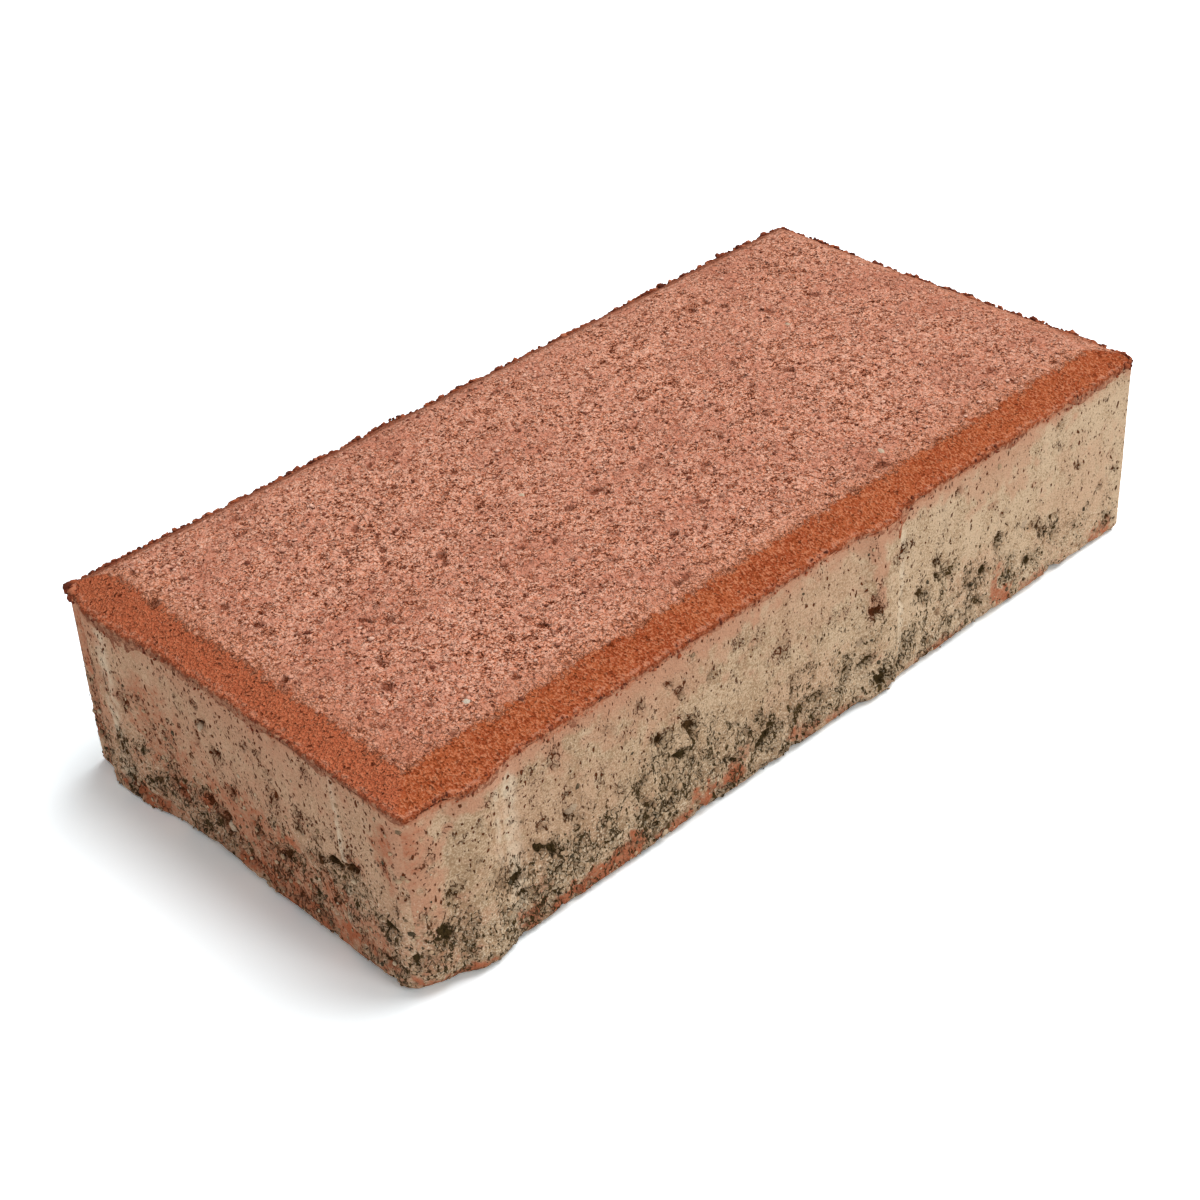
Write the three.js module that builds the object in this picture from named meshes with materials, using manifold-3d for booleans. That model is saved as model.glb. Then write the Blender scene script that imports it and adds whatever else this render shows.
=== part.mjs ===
// Rectangular concrete paving stone: an upright-sided block with spacer nibs,
// a flat wearing face with a chamfer all round, and lightly eased lower edges.
// Millimetres, +Z up. The origin is the centre of the underside, +X is the long way.

import * as THREE from 'three';
import { mergeVertices } from 'three/addons/utils/BufferGeometryUtils.js';
import Module from 'manifold-3d';

// The block, measured to its sides without the nibs
const stoneLength = 200;
const stoneWidth = 100;
const stoneHeight = 45;
const cornerRadius = 3;      // upright corners, seen from above
const lowerEdgeRadius = 2;   // easing between the sides and the underside

// The chamfer round the wearing face
const chamferRun = 7;        // level distance from the side to the flat of the face
const chamferDrop = 3;       // height lost across that distance

// The spacer nibs: upright ribs that hold the joint to the next stone open
const nibReach = 2;          // how far a nib stands out from the side
const nibFaceWidth = 6;      // its outer face, before the edges are rounded
const nibFlankRun = 4;       // level run of each sloping flank along the side
const nibRootRadius = 2.5;   // hollow where a flank leaves the side
const nibEdgeRadius = 3;     // round where a flank meets the outer face
const longNibInset = 19;     // corner of the block to the first nib of a long side
const longNibPitch = 101;    // first nib to second nib of a long side
const shortNibInset = 14;    // corner of the block to the one nib of a short side

// How finely curves are divided
const arcDivisions = 3;
const lowerEdgeDivisions = 3;

// Spare height and width by which a cutting solid passes what it cuts
const cutAllowance = 5;

const manifoldLibrary = await Module();
manifoldLibrary.setup();

// One nib as four turning points: along the side, out from the side, rounding there.
function nibCorners(centre) {
  const faceHalf = nibFaceWidth / 2;
  const rootHalf = faceHalf + nibFlankRun;
  return [
    { along: centre - rootHalf, out: 0, radius: nibRootRadius },
    { along: centre - faceHalf, out: nibReach, radius: nibEdgeRadius },
    { along: centre + faceHalf, out: nibReach, radius: nibEdgeRadius },
    { along: centre + rootHalf, out: 0, radius: nibRootRadius },
  ];
}

// The block's corner and then its nibs, in the order met along one side.
function sideCorners(nibCentres) {
  return [{ along: 0, out: 0, radius: cornerRadius }, ...nibCentres.flatMap(nibCorners)];
}

// Plan outline, anticlockwise. The two long sides are alike, and so are the two short ones,
// so half a turn brings the stone back onto itself and no nib ever meets a neighbour's nib.
function planCorners() {
  const longNibs = [longNibInset, longNibInset + longNibPitch];
  const shortNibs = [shortNibInset];
  const sides = [
    { start: [-stoneLength / 2, -stoneWidth / 2], heading: 0, nibs: longNibs },
    { start: [stoneLength / 2, -stoneWidth / 2], heading: Math.PI / 2, nibs: shortNibs },
    { start: [stoneLength / 2, stoneWidth / 2], heading: Math.PI, nibs: longNibs },
    { start: [-stoneLength / 2, stoneWidth / 2], heading: -Math.PI / 2, nibs: shortNibs },
  ];
  return sides.flatMap(({ start, heading, nibs }) =>
    sideCorners(nibs).map(({ along, out, radius }) => {
      const point = new THREE.Vector2(along, -out);
      point.rotateAround(new THREE.Vector2(), heading);
      point.add(new THREE.Vector2(...start));
      return { point, radius };
    }));
}

// A closed outline whose turning points are rounded by arcs tangent to both neighbours.
function roundedShape(corners) {
  const shape = new THREE.Shape();
  corners.forEach(({ point, radius }, index) => {
    const before = corners.at(index - 1).point;
    const after = corners[(index + 1) % corners.length].point;
    const arriving = point.clone().sub(before).normalize();
    const leaving = after.clone().sub(point).normalize();
    const turn = Math.atan2(arriving.cross(leaving), arriving.dot(leaving));
    const setback = radius * Math.tan(Math.abs(turn) / 2);
    const arcStart = point.clone().addScaledVector(arriving, -setback);
    const toCentre = new THREE.Vector2(-arriving.y, arriving.x).multiplyScalar(Math.sign(turn) * radius);
    const centre = arcStart.clone().add(toCentre);
    const startAngle = Math.atan2(-toCentre.y, -toCentre.x);
    shape.absarc(centre.x, centre.y, radius, startAngle, startAngle + turn, turn < 0);
  });
  shape.closePath();
  return shape;
}

function rectangleShape(length, width) {
  const shape = new THREE.Shape();
  shape.moveTo(-length / 2, -width / 2);
  shape.lineTo(length / 2, -width / 2);
  shape.lineTo(length / 2, width / 2);
  shape.lineTo(-length / 2, width / 2);
  shape.closePath();
  return shape;
}

// The mould box: the plan outline carried straight up past the face, with its lower edge eased.
function mouldedBlock() {
  const geometry = new THREE.ExtrudeGeometry(roundedShape(planCorners()), {
    depth: stoneHeight + cutAllowance,
    curveSegments: arcDivisions,
    bevelEnabled: true,
    bevelThickness: lowerEdgeRadius,
    bevelSize: lowerEdgeRadius,
    bevelOffset: -lowerEdgeRadius,
    bevelSegments: lowerEdgeDivisions,
  });
  geometry.translate(0, 0, lowerEdgeRadius);
  return geometry;
}

// The press shoe: a flat top with a straight slope on all four sides. The slope runs on past
// the sides, so the chamfer carries on down over the nibs at the same angle.
function pressedHead() {
  const slopeRun = chamferRun + nibReach + cutAllowance;
  const slopeDrop = slopeRun * chamferDrop / chamferRun;
  const flatLength = stoneLength - 2 * chamferRun;
  const flatWidth = stoneWidth - 2 * chamferRun;
  const depth = stoneHeight + cutAllowance;
  const geometry = new THREE.ExtrudeGeometry(rectangleShape(flatLength, flatWidth), {
    depth,
    bevelEnabled: true,
    bevelThickness: slopeDrop,
    bevelSize: slopeRun,
    bevelSegments: 1,
  });
  geometry.translate(0, 0, stoneHeight - depth - slopeDrop);
  return geometry;
}

function toSolid(geometry) {
  geometry.deleteAttribute('normal');
  geometry.deleteAttribute('uv');
  const merged = mergeVertices(geometry);
  const mesh = new manifoldLibrary.Mesh({
    numProp: 3,
    vertProperties: merged.attributes.position.array,
    triVerts: new Uint32Array(merged.index.array),
  });
  return new manifoldLibrary.Manifold(mesh);
}

function toGeometry(solid) {
  const { vertProperties, triVerts } = solid.getMesh();
  const geometry = new THREE.BufferGeometry();
  geometry.setAttribute('position', new THREE.BufferAttribute(vertProperties, 3));
  geometry.setIndex(new THREE.BufferAttribute(triVerts, 1));
  geometry.computeVertexNormals();
  return geometry;
}

const redConcrete = new THREE.MeshStandardMaterial({
  color: 0xb8705a,
  roughness: 0.95,
  metalness: 0,
  flatShading: true,
});

const stoneGeometry = toGeometry(toSolid(mouldedBlock()).intersect(toSolid(pressedHead())));
const pavingStone = new THREE.Mesh(stoneGeometry, redConcrete);
pavingStone.name = 'paving_stone';

const group = new THREE.Group();
group.add(pavingStone);

export default group;
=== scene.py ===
import itertools
import math

import bmesh
import bpy
import numpy as np
from mathutils import Matrix, Vector


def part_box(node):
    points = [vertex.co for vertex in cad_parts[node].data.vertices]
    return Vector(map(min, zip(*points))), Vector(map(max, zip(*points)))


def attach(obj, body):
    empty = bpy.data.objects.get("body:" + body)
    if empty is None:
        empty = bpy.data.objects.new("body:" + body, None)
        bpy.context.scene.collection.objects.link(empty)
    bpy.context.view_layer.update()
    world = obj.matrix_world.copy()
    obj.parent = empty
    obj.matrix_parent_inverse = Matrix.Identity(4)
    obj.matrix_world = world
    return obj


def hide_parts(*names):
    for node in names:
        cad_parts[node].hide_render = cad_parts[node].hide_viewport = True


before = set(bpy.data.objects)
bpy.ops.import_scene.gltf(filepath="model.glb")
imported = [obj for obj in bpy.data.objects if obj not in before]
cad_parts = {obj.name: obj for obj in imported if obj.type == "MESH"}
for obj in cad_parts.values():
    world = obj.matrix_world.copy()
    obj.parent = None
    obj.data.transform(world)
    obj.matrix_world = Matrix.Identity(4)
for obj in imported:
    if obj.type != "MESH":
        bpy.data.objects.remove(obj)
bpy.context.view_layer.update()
mm = 0.001
print("frame loaded")


# camera: looks down on the left end of the long front side

cameraSettings = {
    "aim": (-16.42, -8.21, 22.43),   # mm, the point in the middle of the picture
    "turn": -131.55,                 # degrees round Z, from +X
    "rise": 35.32,                   # degrees above the floor
    "distance": 443.36,              # mm
    "roll": -3.76,                   # degrees
    "lens": 67.21,                   # mm, on the sensor below
    "sensor": 36.0,
    "clip": (0.01, 20.0),            # m, nearest and farthest thing seen
}


def placeCamera(settings):
    turn = math.radians(settings["turn"])
    rise = math.radians(settings["rise"])
    roll = math.radians(settings["roll"])
    away = Vector((math.cos(rise) * math.cos(turn), math.cos(rise) * math.sin(turn), math.sin(rise)))
    level = (-away).cross(Vector((0, 0, 1))).normalized()
    upright = level.cross(-away)
    right = level * math.cos(roll) + upright * math.sin(roll)
    up = upright * math.cos(roll) - level * math.sin(roll)
    spot = (Vector(settings["aim"]) + away * settings["distance"]) * mm
    data = bpy.data.cameras.new("stoneCamera")
    data.lens = settings["lens"]
    data.sensor_width = settings["sensor"]
    data.clip_start, data.clip_end = settings["clip"]
    camera = bpy.data.objects.new("stoneCamera", data)
    camera.matrix_world = Matrix.Translation(spot) @ Matrix((right, up, away)).transposed().to_4x4()
    bpy.context.scene.collection.objects.link(camera)
    bpy.context.scene.camera = camera


placeCamera(cameraSettings)
print("camera placed")


# noise over arrays of points, all in mm

# a slanting axis, which keeps the lattice of the noise off the faces of the block
latticeTurn = np.array(Matrix.Rotation(0.7, 3, Vector((0.48, -0.62, 0.62))))

# shares by which a hidden cap steps inward, each time to squares twice as large
hiddenSteps = (0.05, 0.1, 0.2)

# a spot's outline, in half lengths from its middle: how ragged, where its edge fades, and its halo
spotShape = {"ragged": 0.85, "edge": (1.3, 0.55), "halo": (3.0, 1.0)}


def cellValue(cell, seed):
    mixed = (cell[..., 0] * 73856093) ^ (cell[..., 1] * 19349663) ^ (cell[..., 2] * 83492791)
    mixed = (mixed ^ (seed * 2654435761)) & 0xFFFFFFFF
    mixed = ((mixed ^ (mixed >> 15)) * 2246822519) & 0xFFFFFFFF
    mixed = ((mixed ^ (mixed >> 13)) * 3266489917) & 0xFFFFFFFF
    return ((mixed ^ (mixed >> 16)) & 0xFFFFFF) / 0xFFFFFF


def softNoise(points, size, seed):
    # smooth, from -1 to 1
    scaled = (points @ latticeTurn) / size
    cell = np.floor(scaled).astype(np.int64)
    part = scaled - cell
    part = part * part * (3 - 2 * part)
    total = np.zeros(len(points))
    for corner in itertools.product((0, 1), repeat=3):
        weight = np.prod(np.where(corner, part, 1 - part), axis=1)
        total += weight * cellValue(cell + np.array(corner), seed)
    return total * 2 - 1


def layeredNoise(points, size, layers, seed):
    total = np.zeros(len(points))
    for layer in range(layers):
        total += softNoise(points, size / 2 ** layer, seed + layer) / 2 ** layer
    return total / (2 - 2 ** (1 - layers))


def ramp(value, low, high):
    # 0 below low, 1 above high; falls instead where low is the greater
    share = np.clip((value - low) / (high - low), 0, 1)
    return share * share * (3 - 2 * share)


def markField(along, across, marks, ragged):
    # listed spots, each with a ragged outline: two places, length, width, tilt in degrees, strength
    inside = np.zeros(len(along))
    around = np.zeros(len(along))
    for markAlong, markAcross, length, width, tilt, strength in marks:
        turn = math.radians(tilt)
        forward = (along - markAlong) * math.cos(turn) + (across - markAcross) * math.sin(turn)
        sideways = (across - markAcross) * math.cos(turn) - (along - markAlong) * math.sin(turn)
        gap = np.hypot(forward / length * 2, sideways / width * 2) + spotShape["ragged"] * ragged
        inside = np.maximum(inside, strength * ramp(gap, *spotShape["edge"]))
        around = np.maximum(around, min(strength, 1.0) * ramp(gap, *spotShape["halo"]))
    return inside, around


def strewMarks(seed, count, reach, levels, sizes, strengths):
    # the same kind of spots, thrown at random
    dice = np.random.default_rng(seed)
    along = dice.uniform(-reach, reach, count)
    across = levels[0] + (levels[1] - levels[0]) * dice.random(count) ** levels[2]
    length = dice.uniform(*sizes, count)
    width = length * dice.uniform(0.4, 0.9, count)
    tilt = dice.uniform(-90, 90, count)
    strength = dice.uniform(*strengths, count)
    return list(zip(along, across, length, width, tilt, strength))


# the block's form, shared by the pressed face and the cast body

blockForm = {
    "chamferSlope": (0.34, 0.56),    # at the front and at the back: the press shoe came down tilted
    "chamferRun": 7.0,           # mm
    "leftEase": 0.28,            # share by which the slope over the left end is flatter
    "crestRound": 1.6,
    "pressShift": (0.7, 1.0),    # and a little off centre
    "nibReach": 2.0,
    # corner rounding at the top edge and at the foot, mm
    "corners": {(-1, -1): (2.6, 6.5), (1, -1): (0.8, 0.8), (1, 1): (6.5, 5.0), (-1, 1): (3.4, 1.0)},
    # nibs, each worn in its own way: side, place along it, width of the face, run of the flanks
    # toward the low and the high end, reach at the foot and at the top edge
    "nibs": [
        ("front", -85.0, 2.0, 6.0, 9.0, 1.7, 1.5), ("front", 19.5, 6.0, 4.0, 3.4, 1.1, 1.5),
        ("back", 79.5, 4.5, 4.0, 4.0, 1.8, 1.5), ("back", -20.0, 5.0, 4.0, 4.5, 1.8, 1.6),
        ("left", 37.0, 8.0, 12.0, 5.0, 2.0, 1.2), ("right", -36.0, 5.0, 4.0, 4.0, 1.8, 1.4),
    ],
}

# the axis that each side faces along, and which way
sideFacing = {"front": (1, -1), "right": (0, 1), "back": (1, 1), "left": (0, -1)}

blockLow, blockHigh = (np.array(corner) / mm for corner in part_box("paving_stone"))
blockTop = blockHigh[2]
blockHalf = (blockHigh - blockLow)[:2] / 2 - blockForm["nibReach"]
flatHalf = blockHalf - blockForm["chamferRun"]
flatShift = np.array(blockForm["pressShift"])


def ringPlaces(cellsLong, cellsWide):
    # points round a rectangle of half size 1, anticlockwise from its left front corner
    along = np.linspace(-1, 1, cellsLong + 1)
    across = np.linspace(-1, 1, cellsWide + 1)
    front = np.stack([along[:-1], np.full(cellsLong, -1.0)], axis=1)
    right = np.stack([np.full(cellsWide, 1.0), across[:-1]], axis=1)
    back = np.stack([along[:0:-1], np.full(cellsLong, 1.0)], axis=1)
    left = np.stack([np.full(cellsWide, -1.0), across[:0:-1]], axis=1)
    return np.concatenate([front, right, back, left])


def outlineAt(places, height, form):
    # plan outline of the sides and its outward directions; height is 1 at the top edge, 0 at the foot
    points = places * blockHalf
    outward = np.where(np.abs(places) > 1 - 1e-9, np.sign(places), 0.0)
    outward /= np.linalg.norm(outward, axis=1, keepdims=True)
    for (cornerX, cornerY), (topRadius, footRadius) in form["corners"].items():
        radius = footRadius + (topRadius - footRadius) * height
        corner = np.array([cornerX, cornerY])
        centre = corner * (blockHalf - radius)
        inCorner = np.all((points - centre) * corner > 0, axis=1)
        spoke = points[inCorner] - centre
        spoke /= np.linalg.norm(spoke, axis=1, keepdims=True)
        points[inCorner] = centre + spoke * radius
        outward[inCorner] = spoke
    for name, centre, faceWidth, lowFlank, highFlank, footReach, topReach in form["nibs"]:
        axis, way = sideFacing[name]
        onSide = places[:, axis] * way > 1 - 1e-9
        offset = points[:, 1 - axis] - centre
        rise = ramp(offset, -faceWidth / 2 - lowFlank, -faceWidth / 2)
        rise *= ramp(offset, faceWidth / 2 + highFlank, faceWidth / 2)
        reach = footReach + (topReach - footReach) * height
        points[:, axis] += np.where(onSide, reach * rise * way, 0)
    return points, outward


def pastCrest(plan):
    # how far a place in plan is beyond the flat of the face, negative on the flat
    return np.max(np.abs(plan - flatShift) - flatHalf, axis=1)


def faceLevel(plan, form):
    # height of the pressed face, whose crest is rounded over
    past = pastCrest(plan)
    front, back = form["chamferSlope"]
    slope = front + (back - front) * ramp(plan[:, 1], -flatHalf[1], flatHalf[1])
    over = np.abs(plan - flatShift) - flatHalf
    onLeft = ramp(over[:, 0] - over[:, 1], -1.5, 1.5) * (plan[:, 0] < 0)
    slope = slope * (1 - form["leftEase"] * onLeft)
    return blockTop - slope * (past + np.hypot(past, form["crestRound"])) / 2


def gridInside(cellsLong, cellsWide, edge, firstFree):
    # numbers of a grid's points, whose edge points exist already, and the unit places of the rest
    grid = np.zeros((cellsLong + 1, cellsWide + 1), np.int64)
    grid[:-1, 0] = edge[:cellsLong]
    grid[-1, :-1] = edge[cellsLong:cellsLong + cellsWide]
    grid[:0:-1, -1] = edge[cellsLong + cellsWide:2 * cellsLong + cellsWide]
    grid[0, :0:-1] = edge[2 * cellsLong + cellsWide:]
    innerCount = (cellsLong - 1) * (cellsWide - 1)
    grid[1:-1, 1:-1] = (firstFree + np.arange(innerCount)).reshape(cellsLong - 1, cellsWide - 1)
    along = np.linspace(-1, 1, cellsLong + 1)[1:-1]
    across = np.linspace(-1, 1, cellsWide + 1)[1:-1]
    inner = np.stack(np.meshgrid(along, across, indexing="ij"), axis=-1).reshape(-1, 2)
    return grid, inner


def gridQuads(grid):
    return np.stack([grid[:-1, :-1], grid[1:, :-1], grid[1:, 1:], grid[:-1, 1:]], axis=-1).reshape(-1, 4)


class ShellMaker:
    # a closed mesh from rings round the block, capped by grids; collects points, normals and faces

    def __init__(self, cellsLong, cellsWide):
        self.cellsLong = cellsLong
        self.cellsWide = cellsWide
        self.columns = 2 * (cellsLong + cellsWide)
        self.side = np.repeat(np.arange(4), [cellsLong, cellsWide] * 2)      # which side a column is on
        self.points = []
        self.normals = []
        self.faces = []
        self.spots = []          # the same faces' corners on the bake map
        self.count = 0

    def alongSides(self, rim, table):
        # a size given at places along each side, read off at every point of the ring
        sizes = np.zeros(len(rim))
        for number, (name, facing) in enumerate(sideFacing.items()):
            places, values = zip(*table[name])
            here = self.side == number
            sizes[here] = np.interp(rim[here, 1 - facing[0]], places, values)
        return sizes

    def addPoints(self, points, normals):
        numbers = self.count + np.arange(len(points))
        self.points.append(points)
        self.normals.append(np.broadcast_to(normals, points.shape))
        self.count += len(points)
        return numbers

    def addRings(self, rings, bands):
        # bands: four strips of the bake map, for the front, right, back and left columns
        numbers = np.array([self.addPoints(points, normals) for points, normals in rings])
        following = np.roll(numbers, -1, axis=1)
        quads = np.stack([numbers[:-1], numbers[1:], following[1:], following[:-1]], axis=-1)
        rows = np.arange(len(rings)) / (len(rings) - 1)
        spots = np.zeros((len(rings) - 1, self.columns, 4, 2))
        start = 0
        for length, (left, low, right, high) in zip((self.cellsLong, self.cellsWide) * 2, bands):
            along = left + (right - left) * np.arange(length + 1) / length
            down = high + (low - high) * rows
            part = slice(start, start + length)
            spots[:, part, 0] = np.stack(np.meshgrid(along[:-1], down[:-1]), axis=-1)
            spots[:, part, 1] = np.stack(np.meshgrid(along[:-1], down[1:]), axis=-1)
            spots[:, part, 2] = np.stack(np.meshgrid(along[1:], down[1:]), axis=-1)
            spots[:, part, 3] = np.stack(np.meshgrid(along[1:], down[:-1]), axis=-1)
            start += length
        self.faces.extend(quads.reshape(-1, 4).tolist())
        self.spots.append(spots.reshape(-1, 2))
        return numbers

    def addCap(self, edge, halvings, plan, normal, box):
        # fills a ring with squares, which double in size at each halving; plan gives a place's point
        upward = normal[2] > 0
        cellsLong = self.cellsLong
        cellsWide = self.cellsWide
        size = 1.0
        for inset in halvings:
            cellsLong //= 2
            cellsWide //= 2
            size -= inset
            inner = self.addPoints(plan(ringPlaces(cellsLong, cellsWide) * size), normal)
            outerNext = np.roll(edge, -1)[1::2]
            innerNext = np.roll(inner, -1)
            fans = np.concatenate([
                np.stack([edge[::2], edge[1::2], inner], axis=1),
                np.stack([edge[1::2], innerNext, inner], axis=1),
                np.stack([edge[1::2], outerNext, innerNext], axis=1),
            ])
            self.addFaces(fans, upward, box)
            edge = inner
        grid, places = gridInside(cellsLong, cellsWide, edge, self.count)
        self.addPoints(plan(places * size), normal)
        self.addFaces(gridQuads(grid), upward, box)

    def addFaces(self, faces, upward, box):
        if not upward:
            faces = faces[:, ::-1]
        self.faces.extend(faces.tolist())
        left, low, right, high = box
        plan = np.concatenate(self.points)[faces.reshape(-1), :2]
        share = (plan + blockHalf + 4) / (2 * blockHalf + 8)
        self.spots.append(np.array([left, low]) + share * np.array([right - left, high - low]))

    def gathered(self):
        normals = np.concatenate(self.normals)
        normals = normals / np.linalg.norm(normals, axis=1, keepdims=True)
        return np.concatenate(self.points), normals, self.faces, np.concatenate(self.spots)


def makeMesh(name, points, faces, spots, fields):
    # one piece of the stone, with its bake map and the numbers that its material reads
    mesh = bpy.data.meshes.new(name)
    mesh.from_pydata((points * mm).tolist(), [], faces)
    mesh.update()
    mesh.polygons.foreach_set("use_smooth", np.full(len(mesh.polygons), True))
    bakeMap = mesh.uv_layers.new(name="OFBake")
    bakeMap.data.foreach_set("uv", spots.astype(np.float32).reshape(-1))
    for label, values in fields.items():
        layer = mesh.attributes.new(label, "FLOAT", "POINT")
        layer.data.foreach_set("value", values.astype(np.float32))
    piece = bpy.data.objects.new(name, mesh)
    bpy.context.scene.collection.objects.link(piece)
    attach(piece, "root")
    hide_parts("paving_stone")
    triangles = sum(len(face) - 2 for face in faces)
    print(f"{name}: {len(points)} points, {triangles} triangles")
    return piece


# the pressed face: the red head with its chamfer, which laps a little way down the sides

faceSettings = {
    "cellsLong": 384,        # squares of the flat along X and along Y
    "cellsWide": 176,
    "chamferRows": 16,
    "lipRows": 8,
    # how far the red laps down over the sides, mm: place along the side, length of the lap
    "lipDrop": {
        "front": [
            (-100, 1.6), (-90, 1.6), (-86, 2.4), (-81, 5.0), (-77, 5.4), (-74, 2.6), (-66, 3.0), (-60, 5.4),
            (-57, 2.2), (-51, 2.4), (-47, 4.2), (-30, 3.0), (-15, 4.2), (-5, 2.4), (0, 3.2), (12, 2.6),
            (18, 4.0), (21, 7.5), (25, 13.0), (27.5, 6.0), (29, 2.4), (34, 3.4), (37, 4.6), (41, 2.4),
            (51, 3.0), (60, 4.8), (64, 2.2), (67, 2.4), (72, 4.4), (85, 5.0), (100, 3.6),
        ],
        "left": [
            (-50, 1.8), (-38, 2.6), (-35, 3.6), (-30, 4.8), (-25, 3.6), (-22, 1.8), (-16, 1.8), (-12, 5.0),
            (-5, 4.0), (0, 5.0), (8, 5.8), (12, 6.4), (15, 4.6), (20, 4.2), (24, 5.6), (27, 5.8), (29, 9.0),
            (32, 12.0), (34, 6.0), (38, 5.0), (42, 2.4), (50, 2.4),
        ],
        "right": [(-50, 3.6), (50, 3.6)],
        "back": [(-100, 3.6), (100, 3.6)],
    },
    "lipTorn": 2.4,          # mm, by which the length of the lap comes and goes
    "lipProud": 0.12,        # how far the lap stands out from the side
    "lipTuck": 0.9,          # and how far its lower end then turns in
    "lipBurr": 0.30,
    "heart": 9.0,            # how far inside the sides the hidden underside begins
    "heartDepth": 12.0,      # and how far below the face it lies
    "dustRun": 6.0,          # how far the granules of the flat run down the far slopes
    "brimShade": (1.8, 3.0),      # where the torn brim at the back, painted darker as shade, begins, beyond the crest
    "sway": 0.16,            # long shallow waves of the flat
    "granule": 0.17,         # the relief from here on is in mm
    "sand": 0.07,
    "crackDepth": 0.30,
    "pitDepth": 0.75,
    "felt": 0.06,
    "seed": 11,
    # small pits thrown over the face: how many, where, how large and how deep
    "strewnPits": {
        "count": 230, "reach": 93, "levels": (-43, 43, 1), "sizes": (0.9, 2.3), "strengths": (0.4, 0.9),
    },
    # larger pits: x, y, length, width, tilt, depth share
    "pits": [
        (-70, -5, 3.2, 1.6, -60, 1.2), (-67.3, -8.4, 2.4, 1.5, 15, 1.2), (-47, 1, 3.4, 2.2, 35, 1.0),
        (-48.5, -1.5, 2.6, 1.4, 60, 0.9), (-63.5, 1.2, 1.6, 1.1, 0, 0.9), (-84, 9, 2.6, 1.4, -60, 0.9),
        (-93, 29, 2.8, 2.4, 0, 1.1), (-91.5, -8, 3.8, 1.4, 12, 1.0), (-53.5, 11, 2.2, 1.3, 60, 1.0),
        (-55.4, 6.2, 2.2, 0.9, 20, 0.8), (-58, 15, 1.4, 1.1, 0, 0.8), (-20.2, -5.4, 2.2, 1.5, 40, 1.0),
        (-12.2, -4.8, 3.2, 2.4, 20, 0.9), (-13.4, -27, 2.6, 1.8, -20, 1.2), (-1.6, -23, 3.0, 1.3, -40, 1.0),
        (3.2, 1.4, 1.5, 1.3, 0, 0.9), (-29.5, -11.5, 2.4, 1.2, 30, 0.8), (18, -9, 1.7, 1.4, 0, 0.9),
        (13.6, -9.2, 1.3, 1.0, 0, 0.8), (8, -17, 1.6, 1.1, 20, 0.8), (28.6, -16.6, 2.2, 1.2, -45, 0.9),
        (46.6, -1, 2.8, 1.5, -60, 1.0), (75.4, -25.4, 1.6, 1.4, 0, 0.8), (85, -40.4, 2.0, 1.2, -20, 0.9),
        (-21.5, -38, 2.6, 1.2, 30, 0.8), (-80, -23, 2.8, 1.6, 70, 0.9), (-49, -33, 2.4, 1.1, 15, 0.9),
        (-63.2, -37.6, 1.5, 1.2, 0, 0.9), (-45.2, -42.4, 1.5, 1.2, 0, 1.0), (-87.4, -31, 2.2, 0.9, 10, 0.8),
        (-66, 40, 1.5, 1.0, 20, 0.8), (-36, 36, 2.2, 1.1, 30, 0.8), (-30, 35.4, 2.6, 1.4, -20, 0.9),
        (-52.6, 20, 2.6, 1.3, 50, 0.9), (-48, 13.8, 2.0, 1.0, 20, 0.8), (8, 22, 2.4, 1.5, 30, 0.8),
        (41, 9.5, 2.6, 1.6, 60, 0.7), (58, -18.6, 1.6, 1.2, 0, 0.8), (31, -40, 3.4, 1.2, -30, 0.8),
        (57, 33, 3.0, 2.0, 60, 0.7), (78, 34.6, 2.2, 1.8, 0, 0.7), (18, 13.8, 3.0, 1.6, -60, 0.7),
        (63, 20, 4.0, 2.2, -50, 0.6), (-76, -16.6, 1.7, 1.0, 40, 0.8), (-38, 26, 1.7, 1.2, 30, 0.8),
    ],
}


def faceRelief(points, past, lip, settings):
    # how far each point is lifted from the plain pressed form, and how deep in a pit it lies
    seed = settings["seed"]
    torn = 1.6 * layeredNoise(points, 3.4, 3, seed + 50)
    onFlat = ramp(past + torn, 1.8, -0.6)
    onSlope = (1 - onFlat) * ramp(lip, 0.4, -1.0)
    onLip = ramp(lip, -1.0, 0.0)
    ragged = layeredNoise(points, 1.1, 2, seed)
    granule = layeredNoise(points, 2.0, 2, seed + 4)
    sand = softNoise(points, 0.62, seed + 8)
    patch = layeredNoise(points, 11.0, 2, seed + 12)
    vein = np.abs(layeredNoise(points, 4.4, 2, seed + 20))
    cracks = ramp(vein, 0.085, 0.0) * ramp(patch + 0.6 * granule, -0.15, 0.35)
    marks = settings["pits"] + strewMarks(seed, **settings["strewnPits"])
    pits, around = markField(points[:, 0], points[:, 1], marks, ragged)
    lift = onFlat * (settings["granule"] * granule + settings["sand"] * sand
                     - settings["crackDepth"] * cracks - settings["pitDepth"] * pits)
    lift += onFlat * settings["sway"] * layeredNoise(points, 38.0, 2, seed + 30)
    lift += onSlope * settings["felt"] * (granule + 1.2 * sand + 1.5 * softNoise(points, 5.0, seed + 34))
    lift -= onSlope * 0.5 * settings["pitDepth"] * pits
    burr = layeredNoise(points, 1.5, 2, seed + 40) + 0.5 * softNoise(points, 5.5, seed + 44)
    lift += onLip * settings["lipBurr"] * burr
    depth = np.maximum(settings["pitDepth"] * pits, settings["crackDepth"] * cracks)
    return lift, (onFlat + 0.6 * onSlope) * depth


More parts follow.
